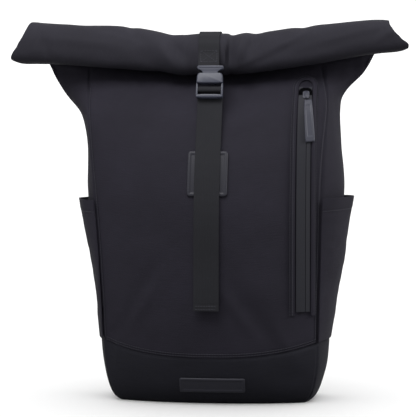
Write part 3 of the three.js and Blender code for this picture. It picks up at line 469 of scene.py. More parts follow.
SHADES: dict[Finish, Shade] = {
    Finish.BODY: Shade((0.0076, 0.007, 0.0102), 0.74, 0.045, Pattern.WEAVE, 0.0006, 0.4, 0.2),
    Finish.ROLL: Shade((0.0088, 0.0084, 0.0113), 0.7, 0.05, Pattern.WEAVE, 0.0006, 0.4, 0.2),
    Finish.BASE: Shade((0.0057, 0.0057, 0.0078), 0.74, 0.04, Pattern.WEAVE, 0.0007, 0.4, 0.16),
    Finish.WEBBING: Shade((0.0066, 0.0067, 0.008), 0.7, 0.045, Pattern.RIB, 0.0009, 0.4, 0.16),
    Finish.RUBBER: Shade((0.0062, 0.0062, 0.0092), 0.5, 0.12, Pattern.GRAIN, 0.0007, 0.15, 0.1),
    Finish.ZIP: Shade((0.0062, 0.0063, 0.0084), 0.6, 0.09, Pattern.GRAIN, 0.0006, 0.1, 0.1),
    Finish.PULL: Shade((0.0125, 0.013, 0.019), 0.5, 0.17, Pattern.GRAIN, 0.0009, 0.2, 0.06),
    Finish.PLASTIC: Shade((0.0125, 0.0138, 0.0215), 0.42, 0.16, Pattern.GRAIN, 0.0005, 0.08, 0.05),
    Finish.MESH: Shade((0.0045, 0.0045, 0.0062), 0.8, 0.09, Pattern.NET, 0.0026, 0.8, 0.14),
    Finish.THREAD: Shade((0.012, 0.012, 0.016), 0.6, 0.12, Pattern.RIB, 0.0006, 0.3, 0.1),
    # Painted shade: a near-black colour for the sheet in the zip's top opening.
    Finish.DARK: Shade((0.0006, 0.0006, 0.0008), 0.9, 0.01, Pattern.PLAIN, 0.001, 0.0, 0.0),
}


@dataclass
class Wiring:
    """Adds shader nodes to a tree, already set and joined."""

    tree: bpy.types.NodeTree

    def add(self, kind: str, settings: dict[str, str], values: dict[str, object]) -> bpy.types.Node:
        """Adds a shader node.

        Args:
            kind: Its type.
            settings: Its options.
            values: A value, or another node's output, for each of its inputs that is used.

        Returns:
            The node.
        """
        node = self.tree.nodes.new(f"ShaderNode{kind}")
        for name, value in settings.items():
            setattr(node, name, value)
        for name, value in values.items():
            self.feed(node.inputs[name], value)
        return node

    def feed(self, socket: bpy.types.NodeSocket, value: object) -> None:
        """Puts a value or another node's output into an input.

        Args:
            socket: The input.
            value: What goes into it.
        """
        if isinstance(value, bpy.types.NodeSocket):
            self.tree.links.new(value, socket)
        else:
            socket.default_value = value

    def maths(self, operation: str, a: object, b: object = 0.0) -> bpy.types.NodeSocket:
        """Adds a calculation.

        Args:
            operation: What is done.
            a: The first value or output.
            b: The second, where there is one.

        Returns:
            The output with the result.
        """
        node = self.tree.nodes.new("ShaderNodeMath")
        node.operation = operation
        self.feed(node.inputs[0], a)
        self.feed(node.inputs[1], b)
        return node.outputs[0]

    def noise(self, place: object, scale: object, detail: float) -> bpy.types.NodeSocket:
        """Returns the output of a noise texture."""
        values = {"Vector": place, "Scale": scale, "Detail": detail}
        return self.add("TexNoise", {}, values).outputs["Fac"]


@dataclass
class FinishShop:
    """Builds the shared pattern group once, and every material from it."""

    made: dict[Finish, bpy.types.Material] = field(default_factory=dict)
    group: bpy.types.NodeTree | None = None
    slub_stretch: tuple[float, float, float] = (70, 620, 1)
    slub_height: float = 2.6
    broad_scale: float = 14
    dust_scale: float = 420
    dust_range: Flat = (0.7, 0.82)
    tone_range: Flat = (0.45, 1.25)
    lint_gain: float = 2.2
    gloss_spread: float = 0.07

    def pattern_group(self) -> bpy.types.NodeTree:
        """Returns the node group that gives a pattern's height, a shade mask and a wear mask."""
        if self.group:
            return self.group
        tree = bpy.data.node_groups.new("ClothPattern", "ShaderNodeTree")
        for name, value in (("Pitch", 0.001), ("Weave", 1.0), ("Rib", 0.0), ("Grain", 0.0), ("Net", 0.0)):
            tree.interface.new_socket(name, in_out="INPUT", socket_type="NodeSocketFloat").default_value = value
        for name in ("Height", "Shade", "Dust"):
            tree.interface.new_socket(name, in_out="OUTPUT", socket_type="NodeSocketFloat")
        wire = Wiring(tree)
        maths = wire.maths
        source = tree.nodes.new("NodeGroupInput").outputs
        target = tree.nodes.new("NodeGroupOutput").inputs
        pitch = source["Pitch"]
        cloth = wire.add("UVMap", {"uv_map": "cloth"}, {}).outputs[0]
        here = wire.add("TexCoord", {}, {}).outputs["Object"]
        split = wire.add("SeparateXYZ", {}, {"Vector": cloth}).outputs
        u = maths("MULTIPLY", maths("DIVIDE", split[0], pitch), math.pi)
        v = maths("MULTIPLY", maths("DIVIDE", split[1], pitch), math.pi)
        across = maths("SINE", u)
        along = maths("SINE", v)
        rib = maths("MULTIPLY", maths("ABSOLUTE", along), maths("ADD", maths("MULTIPLY", across, 0.25), 0.75))
        stagger = maths("MULTIPLY", maths("SIGN", maths("SINE", maths("MULTIPLY", v, 0.5))), 0.8)
        holes = maths("ABSOLUTE", maths("SINE", maths("ADD", u, stagger)))
        net = maths("MULTIPLY", holes, maths("ABSOLUTE", along))
        stretched = wire.add("Mapping", {}, {"Vector": cloth, "Scale": self.slub_stretch}).outputs["Vector"]
        slub = maths("SUBTRACT", wire.noise(stretched, 1, 2), 0.5)
        weave = maths("ADD", maths("MULTIPLY", across, along), maths("MULTIPLY", slub, self.slub_height))
        grain = wire.noise(here, maths("DIVIDE", 1.0, pitch), 3)
        total = maths("MULTIPLY", weave, source["Weave"])
        for name, height in (("Rib", rib), ("Grain", grain), ("Net", net)):
            total = maths("ADD", total, maths("MULTIPLY", height, source[name]))
        low, high = self.dust_range
        dust = wire.noise(here, self.dust_scale, 2)
        speck = wire.add("MapRange", {}, {"Value": dust, "From Min": low, "From Max": high})
        wire.feed(target["Height"], total)
        wire.feed(target["Shade"], wire.noise(here, self.broad_scale, 4))
        wire.feed(target["Dust"], speck.outputs["Result"])
        self.group = tree
        return tree

    def material(self, finish: Finish) -> bpy.types.Material:
        """Returns the material of a finish, made once.

        Args:
            finish: Which finish.

        Returns:
            Its material.
        """
        if finish in self.made:
            return self.made[finish]
        shade = SHADES[finish]
        material = bpy.data.materials.new(finish.value)
        material.use_nodes = True
        wire = Wiring(material.node_tree)
        skin = material.node_tree.nodes["Principled BSDF"].inputs
        pattern = material.node_tree.nodes.new("ShaderNodeGroup")
        pattern.node_tree = self.pattern_group()
        pattern.inputs["Pitch"].default_value = shade.pitch
        for kind in Pattern:
            if kind is not Pattern.PLAIN:
                pattern.inputs[kind.value].default_value = 1.0 if shade.pattern is kind else 0.0
        made = pattern.outputs
        dark, light, lint = (
            tuple(min(1.0, c * gain) for c in shade.colour) + (1.0,)
            for gain in (1 - 1.6 * shade.vary, 1 + 1.6 * shade.vary, self.lint_gain)
        )
        cloudy = wire.add("Mix", {"data_type": "RGBA"}, {"Factor": made["Shade"], "A": dark, "B": light})
        low, high = self.tone_range
        tone = wire.add("MapRange", {}, {"Value": made["Height"], "From Min": -1, "To Min": low, "To Max": high})
        share = 0.35 if shade.pattern in (Pattern.WEAVE, Pattern.RIB, Pattern.NET) else 0.1
        layers = {"Factor": share, "A": cloudy.outputs["Result"], "B": tone.outputs["Result"]}
        woven = wire.add("Mix", {"data_type": "RGBA", "blend_type": "MULTIPLY"}, layers)
        layers = {"Factor": made["Dust"], "A": woven.outputs["Result"], "B": lint}
        dusty = wire.add("Mix", {"data_type": "RGBA"}, layers)
        low, high = shade.roughness - self.gloss_spread, shade.roughness + self.gloss_spread
        rough = wire.add("MapRange", {}, {"Value": made["Shade"], "To Min": low, "To Max": high})
        depth = {"Strength": shade.relief, "Distance": shade.pitch * 0.5, "Height": made["Height"]}
        bump = wire.add("Bump", {}, depth)
        wire.feed(skin["Specular IOR Level"], shade.specular)
        wire.feed(skin["Base Color"], dusty.outputs["Result"])
        wire.feed(skin["Roughness"], rough.outputs["Result"])
        wire.feed(skin["Normal"], bump.outputs["Normal"])
        self.made[finish] = material
        return material


@dataclass
class BodyShape:
    """The surface of the stuffed cloth body, which everything sewn to it follows."""

    width: float = 311 * MM
    depth: float = 150 * MM
    neck: float = 388 * MM
    neck_depth: float = 6 * MM
    neck_setback: float = 7 * MM
    base: float = 55.5 * MM
    corner_rise: float = 18 * MM
    wall: float = 2 * MM
    gap: float = 0.3 * MM
    roll_half: float = 235 * MM
    neck_share: float = 0.6426
    sag: float = 16 * MM

    def line(self, column: str, x: float) -> float:
        """Returns the rise of the roll's top or bottom line at a place across."""
        return self.sag * read_table(ROLL_LINES, "along", column, x / self.roll_half)

    def seam_height(self, x: float) -> float:
        """Returns the height of the seam between the base and the upper panels."""
        return self.base + self.corner_rise * min(1.0, abs(x / (0.42 * self.width))) ** 2.6

    def neck_height(self, x: float) -> float:
        """Returns the height of the neck at a place across."""
        return self.neck + self.line("bottom", x)

    def height_at(self, height: float, x: float) -> float:
        """Returns the real height of a point whose height on the middle line is given."""
        if height <= self.base:
            return height / self.base * self.seam_height(x)
        return mix(self.seam_height(x), self.neck_height(x), (height - self.base) / (self.neck - self.base))

    def middle_height(self, z: float, x: float) -> float:
        """Returns the height on the middle line of a point with the given real height."""
        seam = self.seam_height(x)
        if z <= seam:
            return z / seam * self.base
        return mix(self.base, self.neck, (z - seam) / (self.neck_height(x) - seam))

    def section(self, height: float) -> Row:
        """Returns the body's section at a height on its middle line, in metres."""
        share = height / self.neck
        half = self.width / 2
        names = [name for name in BODY_SECTIONS[0] if name != "height"]
        row = {name: read_table(BODY_SECTIONS, "height", name, share) for name in names}
        row["fold"] = clamp(row["fold"])
        reach = mix(half, self.neck_share * self.roll_half, row["fold"])
        row["seam_left"] *= -half
        row["seam_right"] *= half
        row["side_left"] *= -reach
        row["side_right"] *= reach
        for name in ("front", "seam_front", "seam_back", "back"):
            row[name] *= self.depth
        return row

    def folds(self, x: float, z: float) -> float:
        """Returns how deep the front is pressed in by its folds and dents."""
        total = 0.0
        for dent in FRONT_FOLDS:
            dx = x - dent["across"] * self.width
            dz = z - dent["up"] * self.neck
            lean = math.radians(dent["lean"])
            a = (dx * math.cos(lean) + dz * math.sin(lean)) / (dent["span"] * self.width)
            b = (dz * math.cos(lean) - dx * math.sin(lean)) / (dent["reach"] * self.neck)
            total += dent["depth"] * self.depth * math.exp(-a * a - b * b)
        return total

    def face(self, middle: float, edge: float, roundness: float, x: float, section: Row) -> float:
        """Returns the depth of the front or back between its middle and its seams."""
        centre = (section["seam_left"] + section["seam_right"]) / 2
        half = (section["seam_right"] - section["seam_left"]) / 2
        return middle + (edge - middle) * min(1.0, abs((x - centre) / half)) ** roundness

    def front(self, x: float, z: float) -> float:
        """Returns the depth of the front over a place across and a height."""
        section = self.section(self.middle_height(z, x))
        return self.face(section["front"], section["seam_front"], 2.4, x, section) + self.folds(x, z)

    def back(self, x: float, z: float) -> float:
        """Returns the depth of the back over a place across and a height."""
        section = self.section(self.middle_height(z, x))
        return self.face(section["back"], section["seam_back"], 4, x, section)

    def side(self, section: Row, name: str, share: float) -> Vector:
        """Returns a point of a side panel, from its front seam at 0 to its back seam at 1."""
        seam = section[f"seam_{name}"]
        reach = section[f"side_{name}"]
        away = abs(2 * share - 1)
        rise = mix(1 - away**2.2, 1 - away, section["fold"])
        depth = section["seam_back"] - section["seam_front"]
        slot = clamp(1 - (depth - self.neck_depth) / (14 * MM))
        across = mix(share, clamp((share - 0.375) / 0.25), slot)
        return Vector((seam + (reach - seam) * rise, section["seam_front"] + depth * across, 0.0))

    def normal(self, depth_at: DepthAt, outward: float, x: float, z: float) -> Vector:
        """Returns the outward normal of the front or the back."""
        step = 0.8 * MM
        slope_x = (depth_at(x + step, z) - depth_at(x - step, z)) / (2 * step)
        slope_z = (depth_at(x, z + step) - depth_at(x, z - step)) / (2 * step)
        return Vector((-slope_x, 1.0, -slope_z)).normalized() * outward


class Panel(Enum):
    """The four panels round the body."""

    FRONT = "front"
    RIGHT = "right_side"
    BACK = "back"
    LEFT = "left_side"


@dataclass
class ClothBody:
    """The body's panels, finely divided, with puckered seams and soft wrinkles."""

    shape: BodyShape
    shop: FinishShop
    front_columns: int = 110
    side_columns: int = 44
    upper_rows: int = 130
    base_rows: int = 26
    pucker: float = 0.45 * MM
    crumple: float = 1.0 * MM
    tuck: float = 2.6 * MM

    def loop_point(self, panel: Panel, share: float, height: float) -> Vector:
        """Returns a point of the outer surface.

        Args:
            panel: Which panel.
            share: Place from the panel's first seam at 0 to its last at 1.
            height: Height on the middle line.

        Returns:
            The point, in metres.
        """
        body = self.shape
        section = body.section(height)
        if panel in (Panel.FRONT, Panel.BACK):
            spread = 0.55 * (2 * share - 1) + 0.45 * math.sin((2 * share - 1) * math.pi / 2)
            centre = (section["seam_left"] + section["seam_right"]) / 2
            half = (section["seam_right"] - section["seam_left"]) / 2
            sign = 1 if panel is Panel.FRONT else -1
            x = centre + sign * half * spread
            z = body.height_at(height, x)
            if panel is Panel.FRONT:
                y = body.face(section["front"], section["seam_front"], 2.4, x, section)
                y += body.folds(x, z) * (1 - section["fold"])
            else:
                y = body.face(section["back"], section["seam_back"], 4, x, section)
            return Vector((x, y, z))
        name = "right" if panel is Panel.RIGHT else "left"
        p = body.side(section, name, share if panel is Panel.RIGHT else 1 - share)
        p.z = body.height_at(height, p.x)
        return p

    def relief(self, p: Vector, share: float, up: float, fold: float) -> float:
        """Returns how far a point stands out or in: puckers by the seams, broad wrinkles inside."""
        seam = min(share, 1 - share)
        near = math.exp(-((seam / 0.035) ** 2)) + math.exp(-((min(up, 1 - up) / 0.03) ** 2))
        pucker = self.pucker * near * ripple(p, 9 * MM, 3.1)
        broad = self.crumple * (ripple(p, 70 * MM, 7.7) + 0.45 * ripple(p, 26 * MM, 1.3)) * (1 - near * 0.6)
        sharp = 0.9 * self.crumple * fold * ripple(Vector((p.x, p.y, p.z * 0.35)), 12 * MM, 5.0)
        inward = -2.0 * MM * math.exp(-((seam / 0.011) ** 2))
        inward -= 1.2 * MM * math.exp(-((min(up, 1 - up) / 0.008) ** 2))
        slow = 1.6 * MM * ripple(Vector((p.x, p.y, p.z * 0.6)), 110 * MM, 4.4) * (1 - near * 0.5)
        return pucker + broad * 0.8 + slow + sharp * 1.4 + inward - 0.9 * MM

    def panel(self, panel: Panel, low: float, high: float, rows: int, columns: int) -> tuple[Grid, Grid]:
        """Returns the outer and inner grids of a panel between two heights."""
        base: Grid = []
        for r in range(rows + 1):
            height = mix(low, high, r / rows)
            base.append([self.loop_point(panel, c / columns, height) for c in range(columns + 1)])
        outer: Grid = []
        inner: Grid = []
        for r, row in enumerate(base):
            height = mix(low, high, r / rows)
            fold = self.shape.section(height)["fold"]
            out_row = []
            in_row = []
            for c, p in enumerate(row):
                across = row[min(c + 1, columns)] - row[max(c - 1, 0)]
                along = base[min(r + 1, rows)][c] - base[max(r - 1, 0)][c]
                normal = across.cross(along).normalized()
                flat = 0.0 if height < 4 * MM else 1.0
                calm = 1 - 0.75 * math.exp(-(((p.x) / (22 * MM)) ** 2)) if panel is Panel.FRONT else 1.0
                lift = self.relief(p, c / columns, r / rows, fold) * flat * calm
                lift *= clamp((self.shape.neck - height) / (10 * MM), 0.2, 1)
                out_row.append(p + normal * lift)
                in_row.append(p + normal * (lift - self.shape.wall * 0.75))
            outer.append(out_row)
            inner.append(in_row)
        return outer, inner

    def build(self) -> None:
        """Builds the eight wall panels and the floor."""
        body = self.shape
        gap = body.gap / 2
        for panel in Panel:
            columns = self.front_columns if panel in (Panel.FRONT, Panel.BACK) else self.side_columns
            for tier, finish, low, high, rows in (
                ("", Finish.BODY, body.base + gap, body.neck + self.tuck, self.upper_rows),
                ("_base", Finish.BASE, 0.0, body.base - gap, self.base_rows),
            ):
                outer, inner = self.panel(panel, low, high, rows, columns)
                name = f"{panel.value}{tier}_panel"
                piece = Tools.slab(f"{name}_cloth", outer, inner, self.shop.material(finish))
                Tools.finish_piece(piece, finish, [name])
                Tools.cut(piece, outer, "stretched", ["floor_panel"])
        self.floor()

    def floor(self) -> None:
        """Builds the flat floor with a shallow woven face."""
        rim = [self.loop_point(panel, c / 24, 0.0) for panel in Panel for c in range(24)]
        inset = [Vector((p.x * 0.978, p.y * 0.955, 0.0)) for p in rim]
        grids: list[Grid] = []
        for z in (0.0, 2 * MM):
            grids.append([[Vector((p.x * s, p.y * s, z)) for p in inset + inset[:1]] for s in (1.0, 0.98, 0.6, 0.02)])
        piece = Tools.slab("floor_cloth", grids[0], grids[1], self.shop.material(Finish.BASE))
        Tools.finish_piece(piece, Finish.BASE, ["floor_panel"])


@dataclass
class RolledTop:
    """The doubled sheet rolled to the front, pulled down in the middle by the strap."""

    shape: BodyShape
    shop: FinishShop
    height: float = 51 * MM
    depth: float = 50 * MM
    sheet: float = 3 * MM
    pitch: float = 9 * MM
    turns: float = 1.8
    start: float = -28.0
    lead: float = 3 * MM
    columns: int = 230
    stations: int = 110
    squareness: float = 0.78
    lean: float = 0.1

    @property
    def low(self) -> float:
        """Height of the roll's underside where the strap pulls it down."""
        return self.shape.neck - 2 * self.shape.gap - self.sheet + 0.6 * MM

    @property
    def middle_depth(self) -> float:
        """Depth of the roll's own axis."""
        return -self.depth / 2 + self.shape.neck_setback + 7 * MM

    def path(self, x: float, stations: int) -> list[Vector]:
        """Returns the sheet's middle line in depth and height at a place across."""
        top = self.low + self.height + self.shape.line("top", x)
        bottom = self.low + self.shape.line("bottom", x)

        def shrink(angle: float) -> float:
            """Returns how much the spiral has drawn in at an angle."""
            return self.pitch * (angle - self.start) / 360

        half_height = (top - bottom - self.sheet + shrink(90) + shrink(270)) / 2
        middle = top - self.sheet / 2 - half_height + shrink(90)
        half_depth = (self.depth - self.sheet + shrink(0) + shrink(180)) / 2
        foot = self.shape.neck_height(x) + 2 * self.shape.gap
        path = [Vector((self.shape.neck_setback, foot)), Vector((self.shape.neck_setback, foot + self.lead))]
        for k in range(stations + 1):
            angle = self.start + self.turns * 360 * k / stations
            less = shrink(angle)
            out = math.cos(math.radians(angle))
            rise = math.sin(math.radians(angle))
            box = mix(1.0, self.squareness, clamp((angle - 20) / 60) * clamp((460 - angle) / 100))
            out = math.copysign(abs(out) ** box, out)
            rise = math.copysign(abs(rise) ** box, rise)
            lean = self.lean * rise * half_height * clamp((angle - 20) / 60) * clamp((400 - angle) / 100)
            path.append(
                Vector((self.middle_depth + (half_depth - less) * out + lean, middle + (half_height - less) * rise))
            )
        return path

    def relief(self, x: float, turn: float, p: Vector) -> float:
        """Returns how far the sheet stands out of its smooth spiral.

        Args:
            x: Place across.
            turn: Place along the spiral, in turns.
            p: The same place in space.

        Returns:
            The distance outward, in metres.
        """
        top = self.low + self.height + self.shape.line("top", x)
        bottom = self.low + self.shape.line("bottom", x)
        total = 0.0
        if 0.2 < turn < 0.95:
            up = (p.z - bottom) / (top - bottom)
            for crease in ROLL_FOLDS:
                dx = (x - crease["across"] * self.shape.roll_half) / MM
                dz = (up - crease["up"]) * (top - bottom) / MM
                lean = math.radians(crease["lean"])
                a = (dx * math.cos(lean) - dz * math.sin(lean)) / crease["span"]
                b = (dz * math.cos(lean) + dx * math.sin(lean)) / crease["reach"]
                total -= crease["depth"] * MM * math.exp(-a * a - b * b)
            total *= clamp((turn - 0.2) / 0.08) * clamp((0.95 - turn) / 0.1)
            total *= clamp((abs(x) - 15.5 * MM) / (3 * MM))
        flat = Vector((p.x, p.y * 1.6, p.z * 1.6))
        broad = 1.1 * MM * ripple(flat, 60 * MM, 2.2) + 0.45 * MM * ripple(flat, 20 * MM, 9.1)
        calm = clamp((abs(x) - 14 * MM) / (10 * MM), 0.25)
        return total + broad * calm - 0.5 * MM

    def build(self) -> None:
        """Builds the rolled sheet, a little thinner at its two ends."""
        outer: Grid = []
        inner: Grid = []
        half = self.shape.roll_half
        for c in range(self.columns + 1):
            column = 2 * c / self.columns - 1
            side = "left" if column < 0 else "right"
            ends = [
                read_table(ROLL_ENDS, "turn", side, max(k - 2, 0) / self.stations * self.turns)
                for k in range(self.stations + 3)
            ]
            middle_x = column * half * ends[self.stations // 3]
            path = self.path(middle_x, self.stations)
            thick = self.sheet * 0.9
            outs = Tools.offset_path(path, -self.sheet / 2)
            normals = [(o - p).normalized() for o, p in zip(outs, path)]
            out_row = []
            in_row = []
            for k, p in enumerate(path):
                x = column * half * ends[k]
                turn = max(k - 2, 0) / self.stations * self.turns
                drop = self.path(x, 1)[1].y - path[1].y if k < 2 else 0.0
                place = Vector((x, p.x, p.y + drop))
                calm = clamp((k - 2) / 6) * (1 if turn < 1.05 else 0.3)
                lift = self.relief(x, turn, place) * calm
                edge = 0.35 * MM * math.exp(-(((1 - abs(column)) / 0.012) ** 2))
                a = p + normals[k] * (thick / 2 + lift - edge)
                b = p - normals[k] * (thick / 2 - lift - edge)
                out_row.append(Vector((x, a.x, a.y + drop)))
                in_row.append(Vector((x, b.x, b.y + drop)))
            outer.append(out_row)
            inner.append(in_row)
        piece = Tools.slab("roll_cloth", outer, inner, self.shop.material(Finish.ROLL), turn=True)
        Tools.finish_piece(piece, Finish.ROLL, ["roll"])
        Tools.cut(piece, outer, "folded", ["front_panel", "back_panel"])


@dataclass
class Stitching:
    """Runs of thread, each stitch a small rounded bead laid along a line on the cloth."""

    shop: FinishShop
    length: float = 2.3 * MM
    pitch: float = 3.1 * MM
    girth: float = 0.42 * MM
    points: list[Vector] = field(default_factory=list)
    faces: list[tuple[int, ...]] = field(default_factory=list)

    def run(self, line: Sequence[Vector], normals: Sequence[Vector]) -> None:
        """Lays stitches along a line.

        Args:
            line: Points on the cloth's surface, in metres.
            normals: The outward direction at each.
        """
        travelled = 0.0
        due = self.pitch / 2
        for a, b, out in zip(line, line[1:], normals):
            span = (b - a).length
            if span < 1e-7:
                continue
            along = (b - a) / span
            while due <= travelled + span:
                self.stitch(a + along * (due - travelled), along, out)
                due += self.pitch
            travelled += span

    def stitch(self, middle: Vector, along: Vector, out: Vector) -> None:
        """Adds one stitch: a six-sided bead with drawn-in ends."""
        across = along.cross(out).normalized()
        start = len(self.points)
        for at, size in ((-0.5, 0.25), (-0.3, 0.95), (0.0, 1.1), (0.3, 0.95), (0.5, 0.25)):
            for k in range(6):
                angle = k * math.pi / 3
                ring = across * math.cos(angle) + out * (0.8 * math.sin(angle))
                self.points.append(middle + along * (at * self.length) + ring * (self.girth * size))
        for r in range(4):
            for k in range(6):
                a = start + r * 6 + k
                b = start + r * 6 + (k + 1) % 6
                self.faces.append((a, b, b + 6, a + 6))
        self.faces.append(tuple(start + k for k in reversed(range(6))))
        self.faces.append(tuple(start + 24 + k for k in range(6)))

    def build(self) -> None:
        """Makes one object from all the stitches."""
        uvs = [(p.x, p.z) for p in self.points]
        piece = Tools.mesh("stitching", self.points, self.faces, uvs, self.shop.material(Finish.THREAD))
        Tools.finish_piece(piece, Finish.THREAD)


@dataclass
class FrontTrim:
    """What is sewn to the front: the bare patches, the zip in its welt, and the seams' stitches."""

    shape: BodyShape
    shop: FinishShop
    thread: Stitching
    zip_across: float = 109.5 * MM
    zip_low: float = 110 * MM
    zip_high: float = 371 * MM
    tape: float = 7.3 * MM
    slit: float = 0.6 * MM
    slit_shift: float = 2.8 * MM
    border: float = 4.6 * MM
    room: float = 1.2 * MM
    arch: float = 13 * MM
    lift: float = 0.5 * MM

    def facing(self, name: str, finish: Finish, nodes: Sequence[str], columns: int, rows: int,
               place: Callable[[float, float], tuple[float, float]], lift: float,
               thick: Callable[[float, float], float], back: bool = False) -> bpy.types.Object:
        """Builds a thin piece that follows the front or the back.

        Args:
            name: Name of the piece.
            finish: Its finish.
            nodes: The CAD nodes that it stands for.
            columns: Divisions across.
            rows: Divisions upward.
            place: Takes shares across and up to a place across and a height.
            lift: Its clearance off the cloth, in metres.
            thick: Its thickness at the same shares, in metres.
            back: True for the back, False for the front.

        Returns:
            The new object.
        """
        depth_at = self.shape.back if back else self.shape.front
        outward = 1.0 if back else -1.0
        outer: Grid = []
        inner: Grid = []
        for r in range(rows + 1):
            out_row = []
            in_row = []
            for c in range(columns + 1):
                x, z = place(c / columns, r / rows)
                out = self.shape.normal(depth_at, outward, x, z)
                foot = Vector((x, depth_at(x, z), z))
                out_row.append(foot + out * (lift + thick(c / columns, r / rows)))
                in_row.append(foot + out * lift)
            outer.append(out_row)
            inner.append(in_row)
        piece = Tools.slab(name, outer, inner, self.shop.material(finish), turn=back, sharp=50)
        if finish is Finish.RUBBER:
            Tools.cut(piece, outer, "laid", ["front_panel"])
        return Tools.finish_piece(piece, finish, nodes)

    @staticmethod
    def rounded(middle_x: float, middle_z: float, width: float, height: float,
                corner: float) -> Callable[[float, float], tuple[float, float]]:
        """Returns a map from shares to a rectangle with round corners."""

        def place(a: float, b: float) -> tuple[float, float]:
            up = (b - 0.5) * height
            near = max(0.0, abs(up) - (height / 2 - corner))
            trim = corner - math.sqrt(max(0.0, corner * corner - near * near))
            return middle_x + (a - 0.5) * (width - 2 * trim), middle_z + up

        return place

    @staticmethod
    def plate(thick: float, rim: float, sink: float, aspect: float) -> Callable[[float, float], float]:
        """Returns a thickness with a raised rim and a sunken field."""

        def at(a: float, b: float) -> float:
            """Returns the thickness at two shares."""
            edge = min(min(a, 1 - a), min(b, 1 - b) / aspect)
            field_share = clamp((edge - rim) / 0.02)
            round_off = clamp(edge / 0.02) ** 0.5
            return thick * (0.35 + 0.65 * round_off) - sink * field_share

        return at

    def outline(self, middle_x: float, middle_z: float, width: float, height: float, lift: float) -> None:
        """Stitches round a rectangle on the front."""
        corners = [(-0.5, -0.5), (0.5, -0.5), (0.5, 0.5), (-0.5, 0.5), (-0.5, -0.5)]
        for (ax, az), (bx, bz) in zip(corners, corners[1:]):
            places = [
                (middle_x + mix(ax, bx, k / 24) * width, middle_z + mix(az, bz, k / 24) * height) for k in range(25)
            ]
            self.sew(places, lift)

    def sew(self, places: Sequence[tuple[float, float]], lift: float = 0.0) -> None:
        """Stitches along places given across and up on the front."""
        normals = [self.shape.normal(self.shape.front, -1.0, x, z) for x, z in places]
        line = [
            Vector((x, self.shape.front(x, z), z)) + out * lift for (x, z), out in zip(places, normals)
        ]
        self.thread.run(line, normals)

    def patches(self) -> None:
        """Builds the bare patch behind the strap and the bare label on the base."""
        self.facing(
            "strap_patch_rubber", Finish.RUBBER, ["strap_patch"], 60, 66,
            self.rounded(0.0, 271 * MM, 47 * MM, 52 * MM, 4 * MM), self.lift,
            self.plate(1.5 * MM, 0.07, 0.7 * MM, 0.9),
        )
        self.outline(0.0, 271 * MM, 42 * MM, 47 * MM, 1.75 * MM)
        self.facing(
            "base_label_rubber", Finish.RUBBER, ["base_label"], 90, 28,
            self.rounded(5 * MM, 24 * MM, 77 * MM, 17 * MM, 2 * MM), self.lift,
            self.plate(1.4 * MM, 0.03, 0.7 * MM, 4.5),
        )

    def zip(self) -> None:
        """Builds the zip: two coated tapes with a shadow slit, a near-black sheet of painted shade in the opening above
        the slider, the welt, the slider and the pull.
        """
        for name, sign in (("left", -1), ("right", 1)):
            def place(a: float, b: float, sign: int = sign) -> tuple[float, float]:
                wide = clamp((b - 0.952) / 0.048) ** 0.7 * 3.4 * MM
                near = sign * (self.slit / 2 + wide) + self.slit_shift * (1 - clamp((b - 0.93) / 0.05))
                far = sign * (self.slit / 2 + self.tape)
                return self.zip_across + mix(near, far, a), mix(self.zip_low, self.zip_high, b)

            def thick(a: float, b: float) -> float:
                """Returns the tape's thickness, more at the slit."""
                ridge = math.exp(-((a / 0.16) ** 2))
                return 0.75 * MM + 0.16 * MM * ridge

            piece = self.facing(
                f"zip_tape_{name}_coated", Finish.ZIP, [f"zip_tape_{name}"], 10, 150, place, self.lift, thick
            )
            if sign < 0:
                piece.data.flip_normals()
        reach = self.slit / 2 + self.tape + self.room

        def opening(a: float, b: float) -> Flat:
            """Returns a point of the near-black sheet painted as the shadow in the opening above the slider."""
            round_top = math.sqrt(max(0.0, 1 - max(0.0, (b - 0.4) / 0.6) ** 2))
            return (
                self.zip_across + (2 * a - 1) * (reach - 0.9 * MM) * (0.3 + 0.7 * round_top),
                mix(361.5 * MM, self.zip_high - 1.2 * MM, b),
            )

        # Painted shadow: a near-black sheet in the zip's top opening stands in for the shade inside it.
        self.facing("zip_opening", Finish.DARK, [], 8, 12, opening, self.lift + 0.95 * MM, lambda a, b: 0.1 * MM)
        self.welt(reach)
        self.pull()

    def welt(self, reach: float) -> None:
        """Builds the welt round the zip, an arch above and a raised right edge."""
        low = self.zip_low - self.border
        high = self.zip_high + self.arch
        half = reach + self.border
        path: list[tuple[float, float]] = []
        for k in range(90):
            path.append((-1.0, mix(low, high - half, k / 89)))
        for k in range(1, 40):
            angle = math.pi * (1 - k / 40)
            path.append((math.cos(angle), high - half + half * math.sin(angle)))
        for k in range(90):
            path.append((1.0, mix(high - half, low, k / 89)))
        outer: Grid = []
        inner: Grid = []
        for share, z in path:
            out_row = []
            in_row = []
            for c in range(9):
                inset = self.border * c / 8
                angle_up = max(0.0, z - (high - half)) / half
                side = share * (half - inset)
                up = z - inset * angle_up
                x = self.zip_across + side
                out = self.shape.normal(self.shape.front, -1.0, x, up)
                foot = Vector((x, self.shape.front(x, up), up))
                crown = math.sin(math.pi * (0.12 + 0.76 * c / 8)) ** 0.6
                tall = mix(0.4, 2.0, clamp(share + 0.5)) * MM * crown
                out_row.append(foot + out * (0.35 * MM + tall))
                in_row.append(foot + out * 0.3 * MM)
            outer.append(out_row)
            inner.append(in_row)
        piece = Tools.slab("zip_welt_cloth", outer, inner, self.shop.material(Finish.BODY))
        Tools.finish_piece(piece, Finish.BODY, ["zip_welt"])
        for extra in (-1.7 * MM, 0.9 * MM):
            places = [(self.zip_across + s * (half + extra), z + (extra if abs(s) < 1 else 0)) for s, z in path]
            self.sew(places, 0.25 * MM if extra > 0 else 1.15 * MM)

